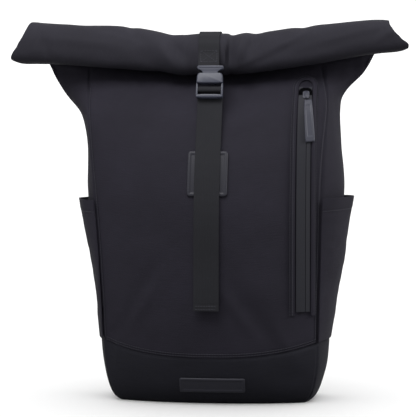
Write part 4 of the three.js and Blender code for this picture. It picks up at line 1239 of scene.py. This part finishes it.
    def pull(self) -> None:
        """Builds the slider with its bridge and the soft pull that hangs from it."""
        middle = self.zip_high - 9.5 * MM
        slider = self.facing(
            "zip_slider_metal", Finish.PLASTIC, ["zip_slider"], 16, 18,
            self.rounded(self.zip_across + 0.8 * MM, middle, 7.6 * MM, 8.6 * MM, 2.4 * MM), 1.6 * MM,
            lambda a, b: 0.8 * MM + 1.7 * MM * clamp(1.25 - abs(2 * a - 1) * 2.2) * (1 - (2 * b - 1) ** 4),
        )
        slider.data.materials[0] = self.shop.material(Finish.PULL)
        length = 48 * MM

        def place(a: float, b: float) -> tuple[float, float]:
            along = b * length
            trim = 1 - 0.12 * abs(2 * b - 1) ** 6
            across = (a - 0.5) * mix(9.6, 10.9, b**0.8) * MM
            lean = 0.075
            return self.zip_across + 3.2 * MM + along * lean + across * trim, middle - 6.2 * MM - along + across * lean

        def thick(a: float, b: float) -> float:
            rim = min(a, 1 - a) * 11
            end = min(b, 1 - b) * 48
            body = 2.1 * MM * clamp(min(rim, end) / 0.8, 0.3) ** 0.5
            groove = 0.45 * MM * clamp((rim - 2.2) / 0.6) * clamp((end - 6) / 0.8)
            return body - groove

        piece = self.facing("zip_pull_rubber", Finish.PULL, ["zip_pull"], 24, 90, place, 1.8 * MM, thick)
        piece.data.flip_normals()

    def seams(self) -> None:
        """Stitches the base seam and the two front seams."""
        body = self.shape
        for above in (2.6 * MM, 5.2 * MM):
            places = []
            for k in range(121):
                x = mix(-0.4 * body.width, 0.4 * body.width, k / 120)
                places.append((x, body.seam_height(x) + above))
            self.sew(places, 0.15 * MM)
        for name, sign in (("left", 1), ("right", -1)):
            places = []
            for k in range(141):
                height = mix(body.base + 4 * MM, 0.93 * body.neck, k / 140)
                x = body.section(height)[f"seam_{name}"] + sign * 3 * MM
                places.append((x, body.height_at(height, x)))
            self.sew(places, 0.1 * MM)

    def build(self) -> None:
        """Builds all of the front's trim."""
        self.patches()
        self.zip()
        self.seams()


@dataclass
class Strapping:
    """The closing strap over the roll, the lower strap through the buckle, and their stitches."""

    shape: BodyShape
    shop: FinishShop
    thread: Stitching
    roll: RolledTop
    width: float = 29.5 * MM
    thick: float = 1.4 * MM
    landing_height: float = 288 * MM
    bar_height: float = 367.5 * MM
    patch: float = 1.5 * MM
    tail_level: float = -3.05 * MM
    lower_reach: float = 11 * MM
    window: float = 6.2 * MM
    ladder: float = 3.2 * MM
    male_bar: float = 26.6 * MM
    male_bar_size: float = 3.6 * MM
    tail_end: float = 112.5 * MM
    over_width: float = 24.8 * MM
    over_shift: float = -1.8 * MM
    buckle_squeeze: float = 0.92

    def __post_init__(self) -> None:
        """Works out the line that the buckle lies on."""
        gap = self.shape.gap
        self.around = gap + self.thick / 2
        self.tail_lift = 3 * gap + self.patch + self.thick / 2
        landing = Vector((self.shape.front(0.0, self.landing_height) - self.tail_lift, self.landing_height))
        self.landing = landing
        self.roll_front = Vector(
            (self.roll.middle_depth - self.roll.depth / 2 - self.around + 2 * MM, self.roll.low + 0.52 * self.roll.height)
        )
        self.up = (self.roll_front - landing).normalized()
        self.out = Vector((-self.up.y, self.up.x))
        self.origin = landing + self.up * ((self.bar_height - landing.y) / self.up.y) - self.out * self.tail_level

    def at(self, up: float, out: float) -> Vector:
        """Returns a point given in millimetres in the buckle's own frame."""
        return self.origin + self.up * up * MM + self.out * out * MM

    def band(self, name: str, path: list[Vector], nodes: Sequence[str], width: float, shift: float = 0.0,
             columns: int = 26) -> bpy.types.Object:
        """Builds webbing of even width along a path, with rounded selvedges and a slight crown.

        Args:
            name: Name of the piece.
            path: Points of depth and height.
            nodes: The CAD nodes that it stands for.
            width: Its width, in metres.
            shift: How far it lies to the right, in metres.
            columns: Divisions across.

        Returns:
            The new object.
        """
        steps: list[Vector] = [path[0]]
        for p in path[1:]:
            gap = (p - steps[-1]).length
            count = max(1, int(gap / (2.5 * MM)))
            start = steps[-1]
            steps += [start.lerp(p, (k + 1) / count) for k in range(count)]
        outer: Grid = []
        inner: Grid = []
        highs = Tools.offset_path(steps, 1.0)
        for p, high in zip(steps, highs):
            normal = (high - p) / max(1.0, (high - p).length) if (high - p).length > 1 else (high - p)
            out_row = []
            in_row = []
            for c in range(columns + 1):
                share = 2 * c / columns - 1
                edge = math.sqrt(max(0.0, 1 - max(0.0, abs(share) - 0.94) ** 2 / 0.06**2))
                half = self.thick / 2 * (0.25 + 0.7 * edge)
                wave = 0.12 * MM * ripple(Vector((share * 0.01, p.x, p.y)), 16 * MM, 4.0)
                x = shift * self.drift(p.y) + share * width / 2
                a = p + normal * (half + wave)
                b = p - normal * (half - wave)
                out_row.append(Vector((x, a.x, a.y)))
                in_row.append(Vector((x, b.x, b.y)))
            outer.append(out_row)
            inner.append(in_row)
        piece = Tools.slab(name, outer, inner, self.shop.material(Finish.WEBBING), sharp=60)
        Tools.cut(piece, outer, "hung", ["roll", "front_panel"])
        return Tools.finish_piece(piece, Finish.WEBBING, nodes)

    def drift(self, z: float) -> float:
        """Returns how many times its sideways shift the closing strap has at a height."""
        return 1 + max(0.0, (z - self.bar_height) / (44 * MM))

    def tail(self) -> list[Vector]:
        """Returns the lower strap's path, from its anchor over the ladder bar to its free end."""
        half = self.ladder / 2 / MM
        around = self.around / MM
        level = self.tail_level / MM
        anchor = level - self.thick / MM - self.shape.gap / MM - 0.1
        reach = self.lower_reach / MM
        path = [Vector((self.shape.front(0.0, z) - self.around, z)) for z in (303 * MM, 312 * MM)]
        bend = [
            self.at(-reach - 3, anchor), self.at(0, anchor + 0.3), self.at(half + 0.7, -2.7),
            self.at(half + around + 0.5, -0.7), self.at(half + around + 0.4, 1.6), self.at(half - 0.1, 1.9 + around),
            self.at(-half + 0.1, 1.9 + around), self.at(-half - around - 0.4, 1.6),
            self.at(-half - around - 0.2, -0.2), self.at(-self.window / MM - 0.4, level),
            self.at(-reach - 4, level),
        ]
        path += bend
        path.append(self.landing + self.up * 8 * MM)
        depth = math.inf
        for k in range(13):
            z = mix(self.landing_height - 6 * MM, self.tail_end, k / 12)
            depth = min(depth, self.shape.front(0.0, z) - self.tail_lift)
            path.append(Vector((depth, z)))
        return path

    def over(self) -> list[Vector]:
        """Returns the closing strap's path, from the back over the roll to the male end's bar."""
        path = []
        for k in range(11):
            z = mix(318 * MM, self.shape.neck - 6 * MM, k / 10)
            path.append(Vector((self.shape.back(0.0, z) + self.around + 2 * self.shape.gap, z)))
        ring = Tools.offset_path(self.roll.path(0.0, 25), -(self.roll.sheet / 2 + self.around + 0.3 * MM))
        path += ring[3:10]
        half = self.male_bar_size / 2 / MM
        bar = self.male_bar / MM
        level = -0.55
        rear = -3.2 - self.around / MM
        path += [
            self.roll_front, self.at(bar + half + 3, level - 0.05), self.at(bar - half + 0.6, level),
            self.at(bar - half - 1.2, level - 0.5), self.at(bar - half - 1.9, (level + rear) / 2),
            self.at(bar - half - 1.2, rear + 0.4), self.at(bar - half + 0.6, rear), self.at(bar + half, rear),
            self.at(bar + half + 4, level - 2.0),
        ]
        return path

    def moulding(self, name: str, half_outline: Sequence[tuple[float, float]], low: float, high: float,
                 round_off: float, nodes: Sequence[str]) -> bpy.types.Object:
        """Builds a moulded plate of the buckle with rounded edges.

        Args:
            name: Name of the piece.
            half_outline: Across and up in millimetres, of the right half, from the top down.
            low: Its rear level out of the strap's plane, in millimetres.
            high: Its front level.
            round_off: How far its edges are rounded.
            nodes: The CAD nodes that it stands for.

        Returns:
            The new object.
        """
        outline = [Vector(p) for p in half_outline] + [Vector((-x, up)) for x, up in reversed(half_outline)]
        for _ in range(2):
            cut = []
            for a, b in zip(outline, outline[1:] + outline[:1]):
                cut += [a.lerp(b, 0.2), a.lerp(b, 0.8)]
            outline = cut
        centre = sum(outline, Vector((0.0, 0.0))) / len(outline)
        rings: list[tuple[float, float]] = []
        for k in range(5):
            angle = math.pi / 2 * k / 4
            rings.append((round_off * (1 - math.sin(angle)), low + round_off * (1 - math.cos(angle))))
        rings += [(inset, low + high - level) for inset, level in reversed(rings)]
        points: list[Vector] = []
        for inset, level in rings:
            for p in outline:
                q = p - (p - centre).normalized() * inset
                side = self.at(q.y, level)
                points.append(Vector((q.x * MM, side.x, side.y)))
        count = len(outline)
        faces: list[tuple[int, ...]] = []
        for r in range(len(rings) - 1):
            for k in range(count):
                a = r * count + k
                b = r * count + (k + 1) % count
                faces.append((a, a + count, b + count, b))
        faces.append(tuple(range(count)))
        faces.append(tuple(reversed(range((len(rings) - 1) * count, len(rings) * count))))
        uvs = [(p.x, p.z) for p in points]
        piece = Tools.mesh(name, points, faces, uvs, self.shop.material(Finish.PLASTIC))
        piece.data.set_sharp_from_angle(angle=math.radians(50))
        return Tools.finish_piece(piece, Finish.PLASTIC, nodes)

    def buckle(self) -> None:
        """Builds the buckle: a waisted male half with a lip, and a hollow female half with a window."""
        bar = self.male_bar / MM
        lip = bar + 2.4
        self.moulding(
            "buckle_male_waist",
            [(16.2, lip), (16.9, lip - 1.6), (16.4, lip - 4.0), (12.8, lip - 5.4), (9.9, lip - 7.4), (9.2, 18.5),
             (10.5, 16.4)],
            0.3, 3.6, 0.7, ["buckle_male"],
        )
        self.moulding("buckle_male_lip", [(16.0, lip), (16.8, lip - 1.4), (16.0, lip - 2.9)], 0.6, 3.8, 0.8, [])
        self.moulding("buckle_male_bar", [(16.6, bar + 1.7), (16.6, bar - 1.7)], -3.2, -1.7, 0.5, [])
        self.moulding(
            "buckle_female_body",
            [(12.4, 19.4), (14.9, 18.6), (16.4, 16.0), (16.6, 9.0), (16.9, 6.6)], -3.1, 6.0, 1.4,
            ["buckle_female"],
        )
        foot = -self.lower_reach / MM
        for name, left, right in (("left", -17.2, -14.8), ("right", 14.8, 17.2)):
            self.rail(f"buckle_female_{name}_side", left, right, foot + 0.6, 8.5, -1.9, 3.9, 0.8)
        self.rail("buckle_female_foot", -17.0, 17.0, foot, foot + 4.4, -1.9, 4.3, 1.2)
        half = self.ladder / 2 / MM
        self.rail("buckle_female_ladder", -15.6, 15.6, -half, half, -1.5, 1.5, 0.5)

    def rail(self, name: str, left: float, right: float, low: float, high: float, rear: float, front: float,
             round_off: float) -> None:
        """Builds a rounded bar of the buckle's frame from its six limits in millimetres."""
        middle = (left + right) / 2
        half = (right - left) / 2
        piece = self.moulding(name, [(half, high), (half, low)], rear, front, round_off, [])
        for vertex in piece.data.vertices:
            vertex.co.x += middle * MM

    def build(self) -> None:
        """Builds both straps, the hem of the tail and the sewn box on the closing strap."""
        self.buckle()
        for piece in [o for o in bpy.data.objects if o.name.startswith("buckle_") and o.name.count("_") > 1]:
            for v in piece.data.vertices:
                v.co.x = v.co.x * self.buckle_squeeze - 0.5 * MM
        self.band("lower_strap_webbing", self.tail(), ["lower_strap"], self.width)
        self.band("closing_strap_webbing", self.over(), ["closing_strap"], self.over_width, self.over_shift)
        depth = min(self.shape.front(0.0, mix(self.tail_end, 282 * MM, k / 12)) for k in range(13)) - self.tail_lift
        hem = [Vector((depth - 0.2 * MM - self.thick, self.tail_end + z * MM)) for z in (7.5, 4.0, 0.2)]
        self.band("lower_strap_hem", hem, [], self.width)
        out = Vector((0.0, -1.0, 0.0))
        for z in (self.tail_end / MM + 2.0, self.tail_end / MM + 5.8):
            line = [Vector((s * 13 * MM, depth - 0.2 * MM - 1.5 * self.thick, z * MM)) for s in (-1.0, 0.0, 1.0)]
            self.thread.run(line, [out] * 3)
        self.box_stitch()

    def box_stitch(self) -> None:
        """Stitches a box with a cross on the strap where it is doubled above the buckle."""
        ring = Tools.offset_path(self.roll.path(0.0, 25), -(self.roll.sheet / 2 + self.around + 0.3 * MM))
        spine = [self.at(self.male_bar / MM + 4.8, -0.6), self.roll_front] + list(reversed(ring[5:10]))
        face = Tools.offset_path(spine, self.thick / 2 + 0.15 * MM)

        def place(u: float, v: float) -> Pair:
            """Returns a point on the strap, with the outward direction there."""
            left = v * MM
            for a, b in zip(face, face[1:]):
                span = (b - a).length
                if left <= span:
                    break
                left -= span
            p = a.lerp(b, min(1.0, left / span))
            along = (b - a).normalized()
            return Vector((self.over_shift * self.drift(p.y) + u * MM, p.x, p.y)), Vector((0.0, -along.y, along.x))

        low, high, half = 3.0, 18.0, 9.5
        corners = [(-half, low), (half, low), (half, high), (-half, high), (-half, low), (half, high)]
        for (au, av), (bu, bv) in list(zip(corners, corners[1:])) + [((half, low), (-half, high))]:
            spots = [place(mix(au, bu, k / 12), mix(av, bv, k / 12)) for k in range(13)]
            self.thread.run([spot[0] for spot in spots], [spot[1] for spot in spots])


@dataclass
class SidePockets:
    """The two open side pockets, with a turned and stitched hem."""

    body: ClothBody
    shop: FinishShop
    thread: Stitching
    top: float = 243 * MM
    stand: float = 9 * MM
    wall: float = 1.8 * MM
    rows: int = 70
    columns: int = 44

    def build(self) -> None:
        """Builds both pockets."""
        shape = self.body.shape
        for panel, name in ((Panel.RIGHT, "right_pocket"), (Panel.LEFT, "left_pocket")):
            low = shape.base + 1 * MM
            high = shape.middle_height(self.top, shape.width / 2)
            outer: Grid = []
            inner: Grid = []
            hem: list[Vector] = []
            outs: list[Vector] = []
            for r in range(self.rows + 1):
                share = r / self.rows
                height = mix(low, high, share)
                stand = self.stand * (0.25 + 0.75 * share**1.6) * min(1.0, share * 6)
                base = [self.body.loop_point(panel, c / self.columns, height) for c in range(self.columns + 1)]
                out_row = []
                in_row = []
                for c, p in enumerate(base):
                    across = base[min(c + 1, self.columns)] - base[max(c - 1, 0)]
                    out = Vector((across.y, -across.x, 0.0)).normalized()
                    bulge = stand * max(0.0, math.sin(math.pi * c / self.columns)) ** 0.6
                    wrinkle = 0.9 * MM * ripple(p, 30 * MM, 6.0) + 0.5 * MM * ripple(p, 11 * MM, 8.0)
                    wrinkle *= math.sin(math.pi * clamp(share * 0.92 + 0.04)) * min(1.0, bulge / (2 * MM))
                    wave = 0.8 * MM * math.sin(5.3 * math.pi * c / self.columns) * share**4 * min(1.0, bulge / (3 * MM))
                    lift = shape.gap + 0.15 * MM + bulge + wrinkle + wave
                    thick = self.wall * (1.0 if share > 0.925 else 0.72)
                    out_row.append(p + out * (lift + thick))
                    in_row.append(p + out * lift)
                    if r == int(self.rows * 0.92):
                        hem.append(p + out * (lift + thick + 0.05 * MM))
                        outs.append(out)
                outer.append(out_row)
                inner.append(in_row)
            piece = Tools.slab(f"{name}_cloth", outer, inner, self.shop.material(Finish.BODY))
            Tools.finish_piece(piece, Finish.BODY, [name])
            Tools.cut(piece, outer, "hung", [f"{panel.value}_panel"])
            self.thread.run(hem, outs)


@dataclass
class BackHarness:
    """What carries the pack: two back pads, two shoulder straps and their webbing."""

    shape: BodyShape
    shop: FinishShop
    trim: FrontTrim
    pad_thick: float = 11 * MM
    shoulder_width: float = 62 * MM
    shoulder_thick: float = 10 * MM

    def pads(self) -> None:
        """Builds the two back pads, domed and quilted with two cross channels."""
        for name, sign in (("left", -1), ("right", 1)):
            def thick(a: float, b: float) -> float:
                """Returns the pad's thickness."""
                dome = (1 - abs(2 * a - 1) ** 3) ** 0.6 * (1 - abs(2 * b - 1) ** 6) ** 0.6
                groove = sum(math.exp(-(((b - at) / 0.014) ** 2)) for at in (0.33, 0.66))
                return 1.2 * MM + (self.pad_thick - 1.2 * MM) * dome * (1 - 0.55 * min(1.0, groove))

            piece = self.trim.facing(
                f"{name}_back_pad_mesh", Finish.MESH, [f"{name}_back_pad"], 40, 120,
                self.trim.rounded(sign * 52 * MM, 190 * MM, 64 * MM, 256 * MM, 16 * MM), self.shape.gap, thick, True,
            )

    def shoulder_line(self, sign: int, rows: int) -> list[Vector]:
        """Returns the middle line of a shoulder strap, from its top to the adjuster."""
        points = []
        for k in range(rows + 1):
            share = k / rows
            z = mix(342 * MM, 128 * MM, share)
            x = sign * mix(98 * MM, 184 * MM, share**1.3) / 2
            over = self.shoulder_thick / 2 + 2 * self.shape.gap + self.pad_thick * min(1.0, share / 0.1)
            bow = 34 * MM * max(0.0, math.sin(math.pi * share)) ** 0.8
            edge = max(0.0, abs(x) - self.shoulder_width / 2)
            points.append(Vector((x, self.shape.back(edge, z) + over + bow, z)))
        return points

    def straps(self) -> None:
        """Builds the padded shoulder straps with a bound edge and a webbing rail down the middle."""
        for name, sign in (("left", -1), ("right", 1)):
            line = self.shoulder_line(sign, 96)
            outer: Grid = []
            inner: Grid = []
            rail_out: Grid = []
            rail_in: Grid = []
            for i, p in enumerate(line):
                along = (line[min(i + 1, 96)] - line[max(i - 1, 0)]).normalized()
                across = (Vector((1.0, 0.0, 0.0)) - along * along.x).normalized()
                out = along.cross(across).normalized()
                if out.y < 0:
                    out = -out
                share = i / 96
                half = self.shoulder_width / 2 * (1 - 0.35 * abs(2 * share - 1) ** 8)
                out_row = []
                in_row = []
                for c in range(31):
                    u = 2 * c / 30 - 1
                    swell = (1 - abs(u) ** 5) ** 0.5
                    binding = 1.25 if abs(u) > 0.88 else 1.0
                    t = self.shoulder_thick / 2 * max(0.14, swell) * (binding if abs(u) < 0.99 else 1)
                    out_row.append(p + across * (u * half) + out * t)
                    in_row.append(p + across * (u * half) - out * t)
                outer.append(out_row)
                inner.append(in_row)
                if 2 <= i <= 94:
                    for grid, high in ((rail_out, 1.5 * MM), (rail_in, 0.1 * MM)):
                        rise = out * (self.shoulder_thick / 2 + high)
                        grid.append([p + across * (u * 12 * MM) + rise for u in (-1, -0.9, 0, 0.9, 1)])
            piece = Tools.slab(f"{name}_shoulder_pad", outer, inner, self.shop.material(Finish.MESH), sharp=70)
            Tools.finish_piece(piece, Finish.MESH, [f"{name}_shoulder_strap"])
            rail = Tools.slab(f"{name}_shoulder_webbing", rail_out, rail_in, self.shop.material(Finish.WEBBING))
            Tools.finish_piece(rail, Finish.WEBBING)
            Tools.cut(rail, rail_out, "laid", [f"{name}_shoulder_strap"])

    def ribbon(self, name: str, line: Sequence[Vector], across: Vector, width: float, thick: float,
               nodes: Sequence[str], rests_on: Sequence[str]) -> None:
        """Builds webbing along a line, with rounded selvedges.

        Args:
            name: Name of the piece.
            line: Points of its middle.
            across: Direction of its width.
            width: Width in metres.
            thick: Thickness in metres.
            nodes: The CAD nodes that it stands for.
            rests_on: Names of what it hangs from.
        """
        outer: Grid = []
        inner: Grid = []
        columns = 24
        for k, p in enumerate(line):
            along = (line[min(k + 1, len(line) - 1)] - line[max(k - 1, 0)]).normalized()
            side = (across - along * across.dot(along)).normalized()
            out = side.cross(along).normalized()
            if out.y < 0:
                out = -out
            out_row = []
            in_row = []
            for c in range(columns + 1):
                share = 2 * c / columns - 1
                edge = math.sqrt(max(0.0, 1 - max(0.0, abs(share) - 0.92) ** 2 / 0.08**2))
                half = thick / 2 * (0.25 + 0.75 * edge)
                out_row.append(p + side * (share * width / 2) + out * half)
                in_row.append(p + side * (share * width / 2) - out * half)
            outer.append(out_row)
            inner.append(in_row)
        turned = (outer[0][-1] - outer[0][0]).cross(outer[1][0] - outer[0][0]).y < 0
        piece = Tools.slab(name, outer, inner, self.shop.material(Finish.WEBBING), turn=turned, sharp=60)
        Tools.finish_piece(piece, Finish.WEBBING, nodes)
        Tools.cut(piece, outer, "hung", rests_on)

    def lower_straps(self) -> None:
        """Builds the ladder adjusters and the webbing that runs from them to the base."""
        for name, sign in (("left", -1), ("right", 1)):
            end = self.shoulder_line(sign, 96)[-1]
            anchor = Vector((sign * 102 * MM, self.shape.back(89.5 * MM, 40 * MM) + 1.3 * MM, 30 * MM))
            down = (anchor - end).normalized()
            start = end + down * 3.7 * MM
            across = (Vector((1.0, 0.0, 0.0)) - down * down.x).normalized()
            out = across.cross(down).normalized()
            if out.y < 0:
                out = -out

            def place(u: float, v: float, w: float) -> Vector:
                """Returns a point given in the adjuster's own frame."""
                return start + across * u + down * v + out * w

            piece = Tools.bars(f"{name}_ladder_adjuster", place, ADJUSTER_BARS, 0.6 * MM,
                               self.shop.material(Finish.PLASTIC))
            Tools.finish_piece(piece, Finish.PLASTIC, [f"{name}_adjuster"])
            threaded = [(4.4, 1.2), (5.6, 2.5), (7.1, 2.9), (8.6, 2.4), (9.7, 0.6), (10.6, -1.7)]
            threaded += [(12.4, -2.8), (15, -1.6)]
            line = [place(0.0, v * MM, w * MM) for v, w in threaded]
            first = line[-1]
            line += [first.lerp(anchor, (k + 1) / 30) for k in range(30)]
            self.ribbon(f"{name}_lower_strap", line, across, 25 * MM, 1.4 * MM, [f"{name}_lower_webbing"],
                        [f"{name}_adjuster", "back_panel"])

    def handle(self) -> None:
        """Builds the grab handle, a bowed loop of doubled webbing sewn down at both ends."""
        line = []
        for k in range(49):
            share = 2 * k / 48 - 1
            x = share * 42 * MM
            bow = 24 * MM * (1 - abs(share) ** 2.6)
            line.append(Vector((x, self.shape.back(x, 354 * MM) + 1.6 * MM + bow, 366 * MM)))
        up = Vector((0.0, 0.0, 1.0))
        self.ribbon("handle_webbing", line, up, 24 * MM, 3 * MM, ["grab_handle"], ["back_panel"])
        for sign in (-1, 1):
            for share in (0.8, 0.92):
                k = round((sign * share + 1) * 24)
                along = (line[k + 1] - line[k - 1]).normalized()
                out = Vector((-along.y, along.x, 0.0)).normalized()
                foot = line[k] + out * 1.6 * MM
                self.trim.thread.run([foot + up * (v * MM) for v in range(-10, 11, 2)], [out] * 11)

    def build(self) -> None:
        """Builds the whole harness."""
        self.pads()
        self.straps()
        self.lower_straps()
        self.handle()


@dataclass
class Studio:
    """A white floor and soft light, with the camera at the photograph's angle."""

    azimuth: float = 7.0
    elevation: float = 3.2
    distance: float = 2.6
    view_width: float = 499.2 * MM
    aim: tuple[float, float, float] = (-9 * MM, 0.0, 226.5 * MM)

    def floor(self) -> None:
        """Lays the pale floor."""
        data = bpy.data.meshes.new("studio_floor")
        size = 6.0
        data.from_pydata([(-size, -size, 0), (size, -size, 0), (size, size, 0), (-size, size, 0)], [], [(0, 1, 2, 3)])
        floor = bpy.data.objects.new("studio_floor", data)
        bpy.context.scene.collection.objects.link(floor)
        material = bpy.data.materials.new("floor_white")
        material.use_nodes = True
        skin = material.node_tree.nodes["Principled BSDF"]
        skin.inputs["Base Color"].default_value = (0.95, 0.95, 0.95, 1)
        skin.inputs["Roughness"].default_value = 0.9
        data.materials.append(material)
        self.unlit = bpy.data.collections.new("floor_lit_by_world")
        self.unlit.objects.link(floor)
        self.unlit.collection_objects[0].light_linking.link_state = "EXCLUDE"

    def lamp(self, name: str, place: tuple[float, float, float], size: tuple[float, float], power: float) -> None:
        """Hangs a rectangular soft light aimed at the middle of the pack."""
        light = bpy.data.lights.new(name, "AREA")
        light.shape = "RECTANGLE"
        light.size, light.size_y = size
        light.energy = power
        lamp = bpy.data.objects.new(name, light)
        lamp.location = place
        aim = Vector((0.0, 0.0, 0.22)) - Vector(place)
        lamp.rotation_euler = aim.to_track_quat("-Z", "Y").to_euler()
        lamp.light_linking.receiver_collection = self.unlit
        bpy.context.scene.collection.objects.link(lamp)

    def build(self) -> None:
        """Sets up the floor, the world, the lights and the camera."""
        self.floor()
        world = bpy.data.worlds.new("studio")
        world.use_nodes = True
        world.node_tree.nodes["Background"].inputs["Color"].default_value = (1, 1, 1, 1)
        world.node_tree.nodes["Background"].inputs["Strength"].default_value = 1.25
        scene = bpy.context.scene
        scene.world = world
        scene.view_settings.view_transform = "Standard"
        scene.view_settings.look = "None"
        self.lamp("top_softbox", (-0.2, -0.8, 1.5), (1.0, 0.7), 50.0)
        self.lamp("left_softbox", (-1.5, -1.3, 1.0), (0.6, 1.0), 12.0)
        self.lamp("right_softbox", (1.45, 0.1, 0.95), (0.5, 0.8), 40.0)
        data = bpy.data.cameras.new("photo_camera")
        data.sensor_width = 36
        data.lens = 36 * self.distance / self.view_width
        camera = bpy.data.objects.new("photo_camera", data)
        around = math.radians(self.azimuth)
        up = math.radians(self.elevation)
        right = Vector((math.cos(around), math.sin(around), 0.0))
        aim = right * self.aim[0] + Vector((0.0, 0.0, self.aim[2]))
        back = Vector((math.sin(around) * math.cos(up), -math.cos(around) * math.cos(up), math.sin(up)))
        camera.location = aim + back * self.distance
        camera.rotation_euler = (-back).to_track_quat("-Z", "Y").to_euler()
        scene.collection.objects.link(camera)
        scene.camera = camera


def main() -> None:
    """Builds the backpack's sub-assemblies in order."""
    logging.basicConfig(level=logging.INFO, format="%(name)s %(message)s")
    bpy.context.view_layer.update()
    shop = FinishShop()
    shape = BodyShape()
    thread = Stitching(shop)
    body = ClothBody(shape, shop)
    body.build()
    roll = RolledTop(shape, shop)
    roll.build()
    trim = FrontTrim(shape, shop, thread)
    trim.build()
    Strapping(shape, shop, thread, roll).build()
    SidePockets(body, shop, thread).build()
    BackHarness(shape, shop, trim).build()
    thread.build()
    Studio().build()


if __name__ == "__main__":
    main()
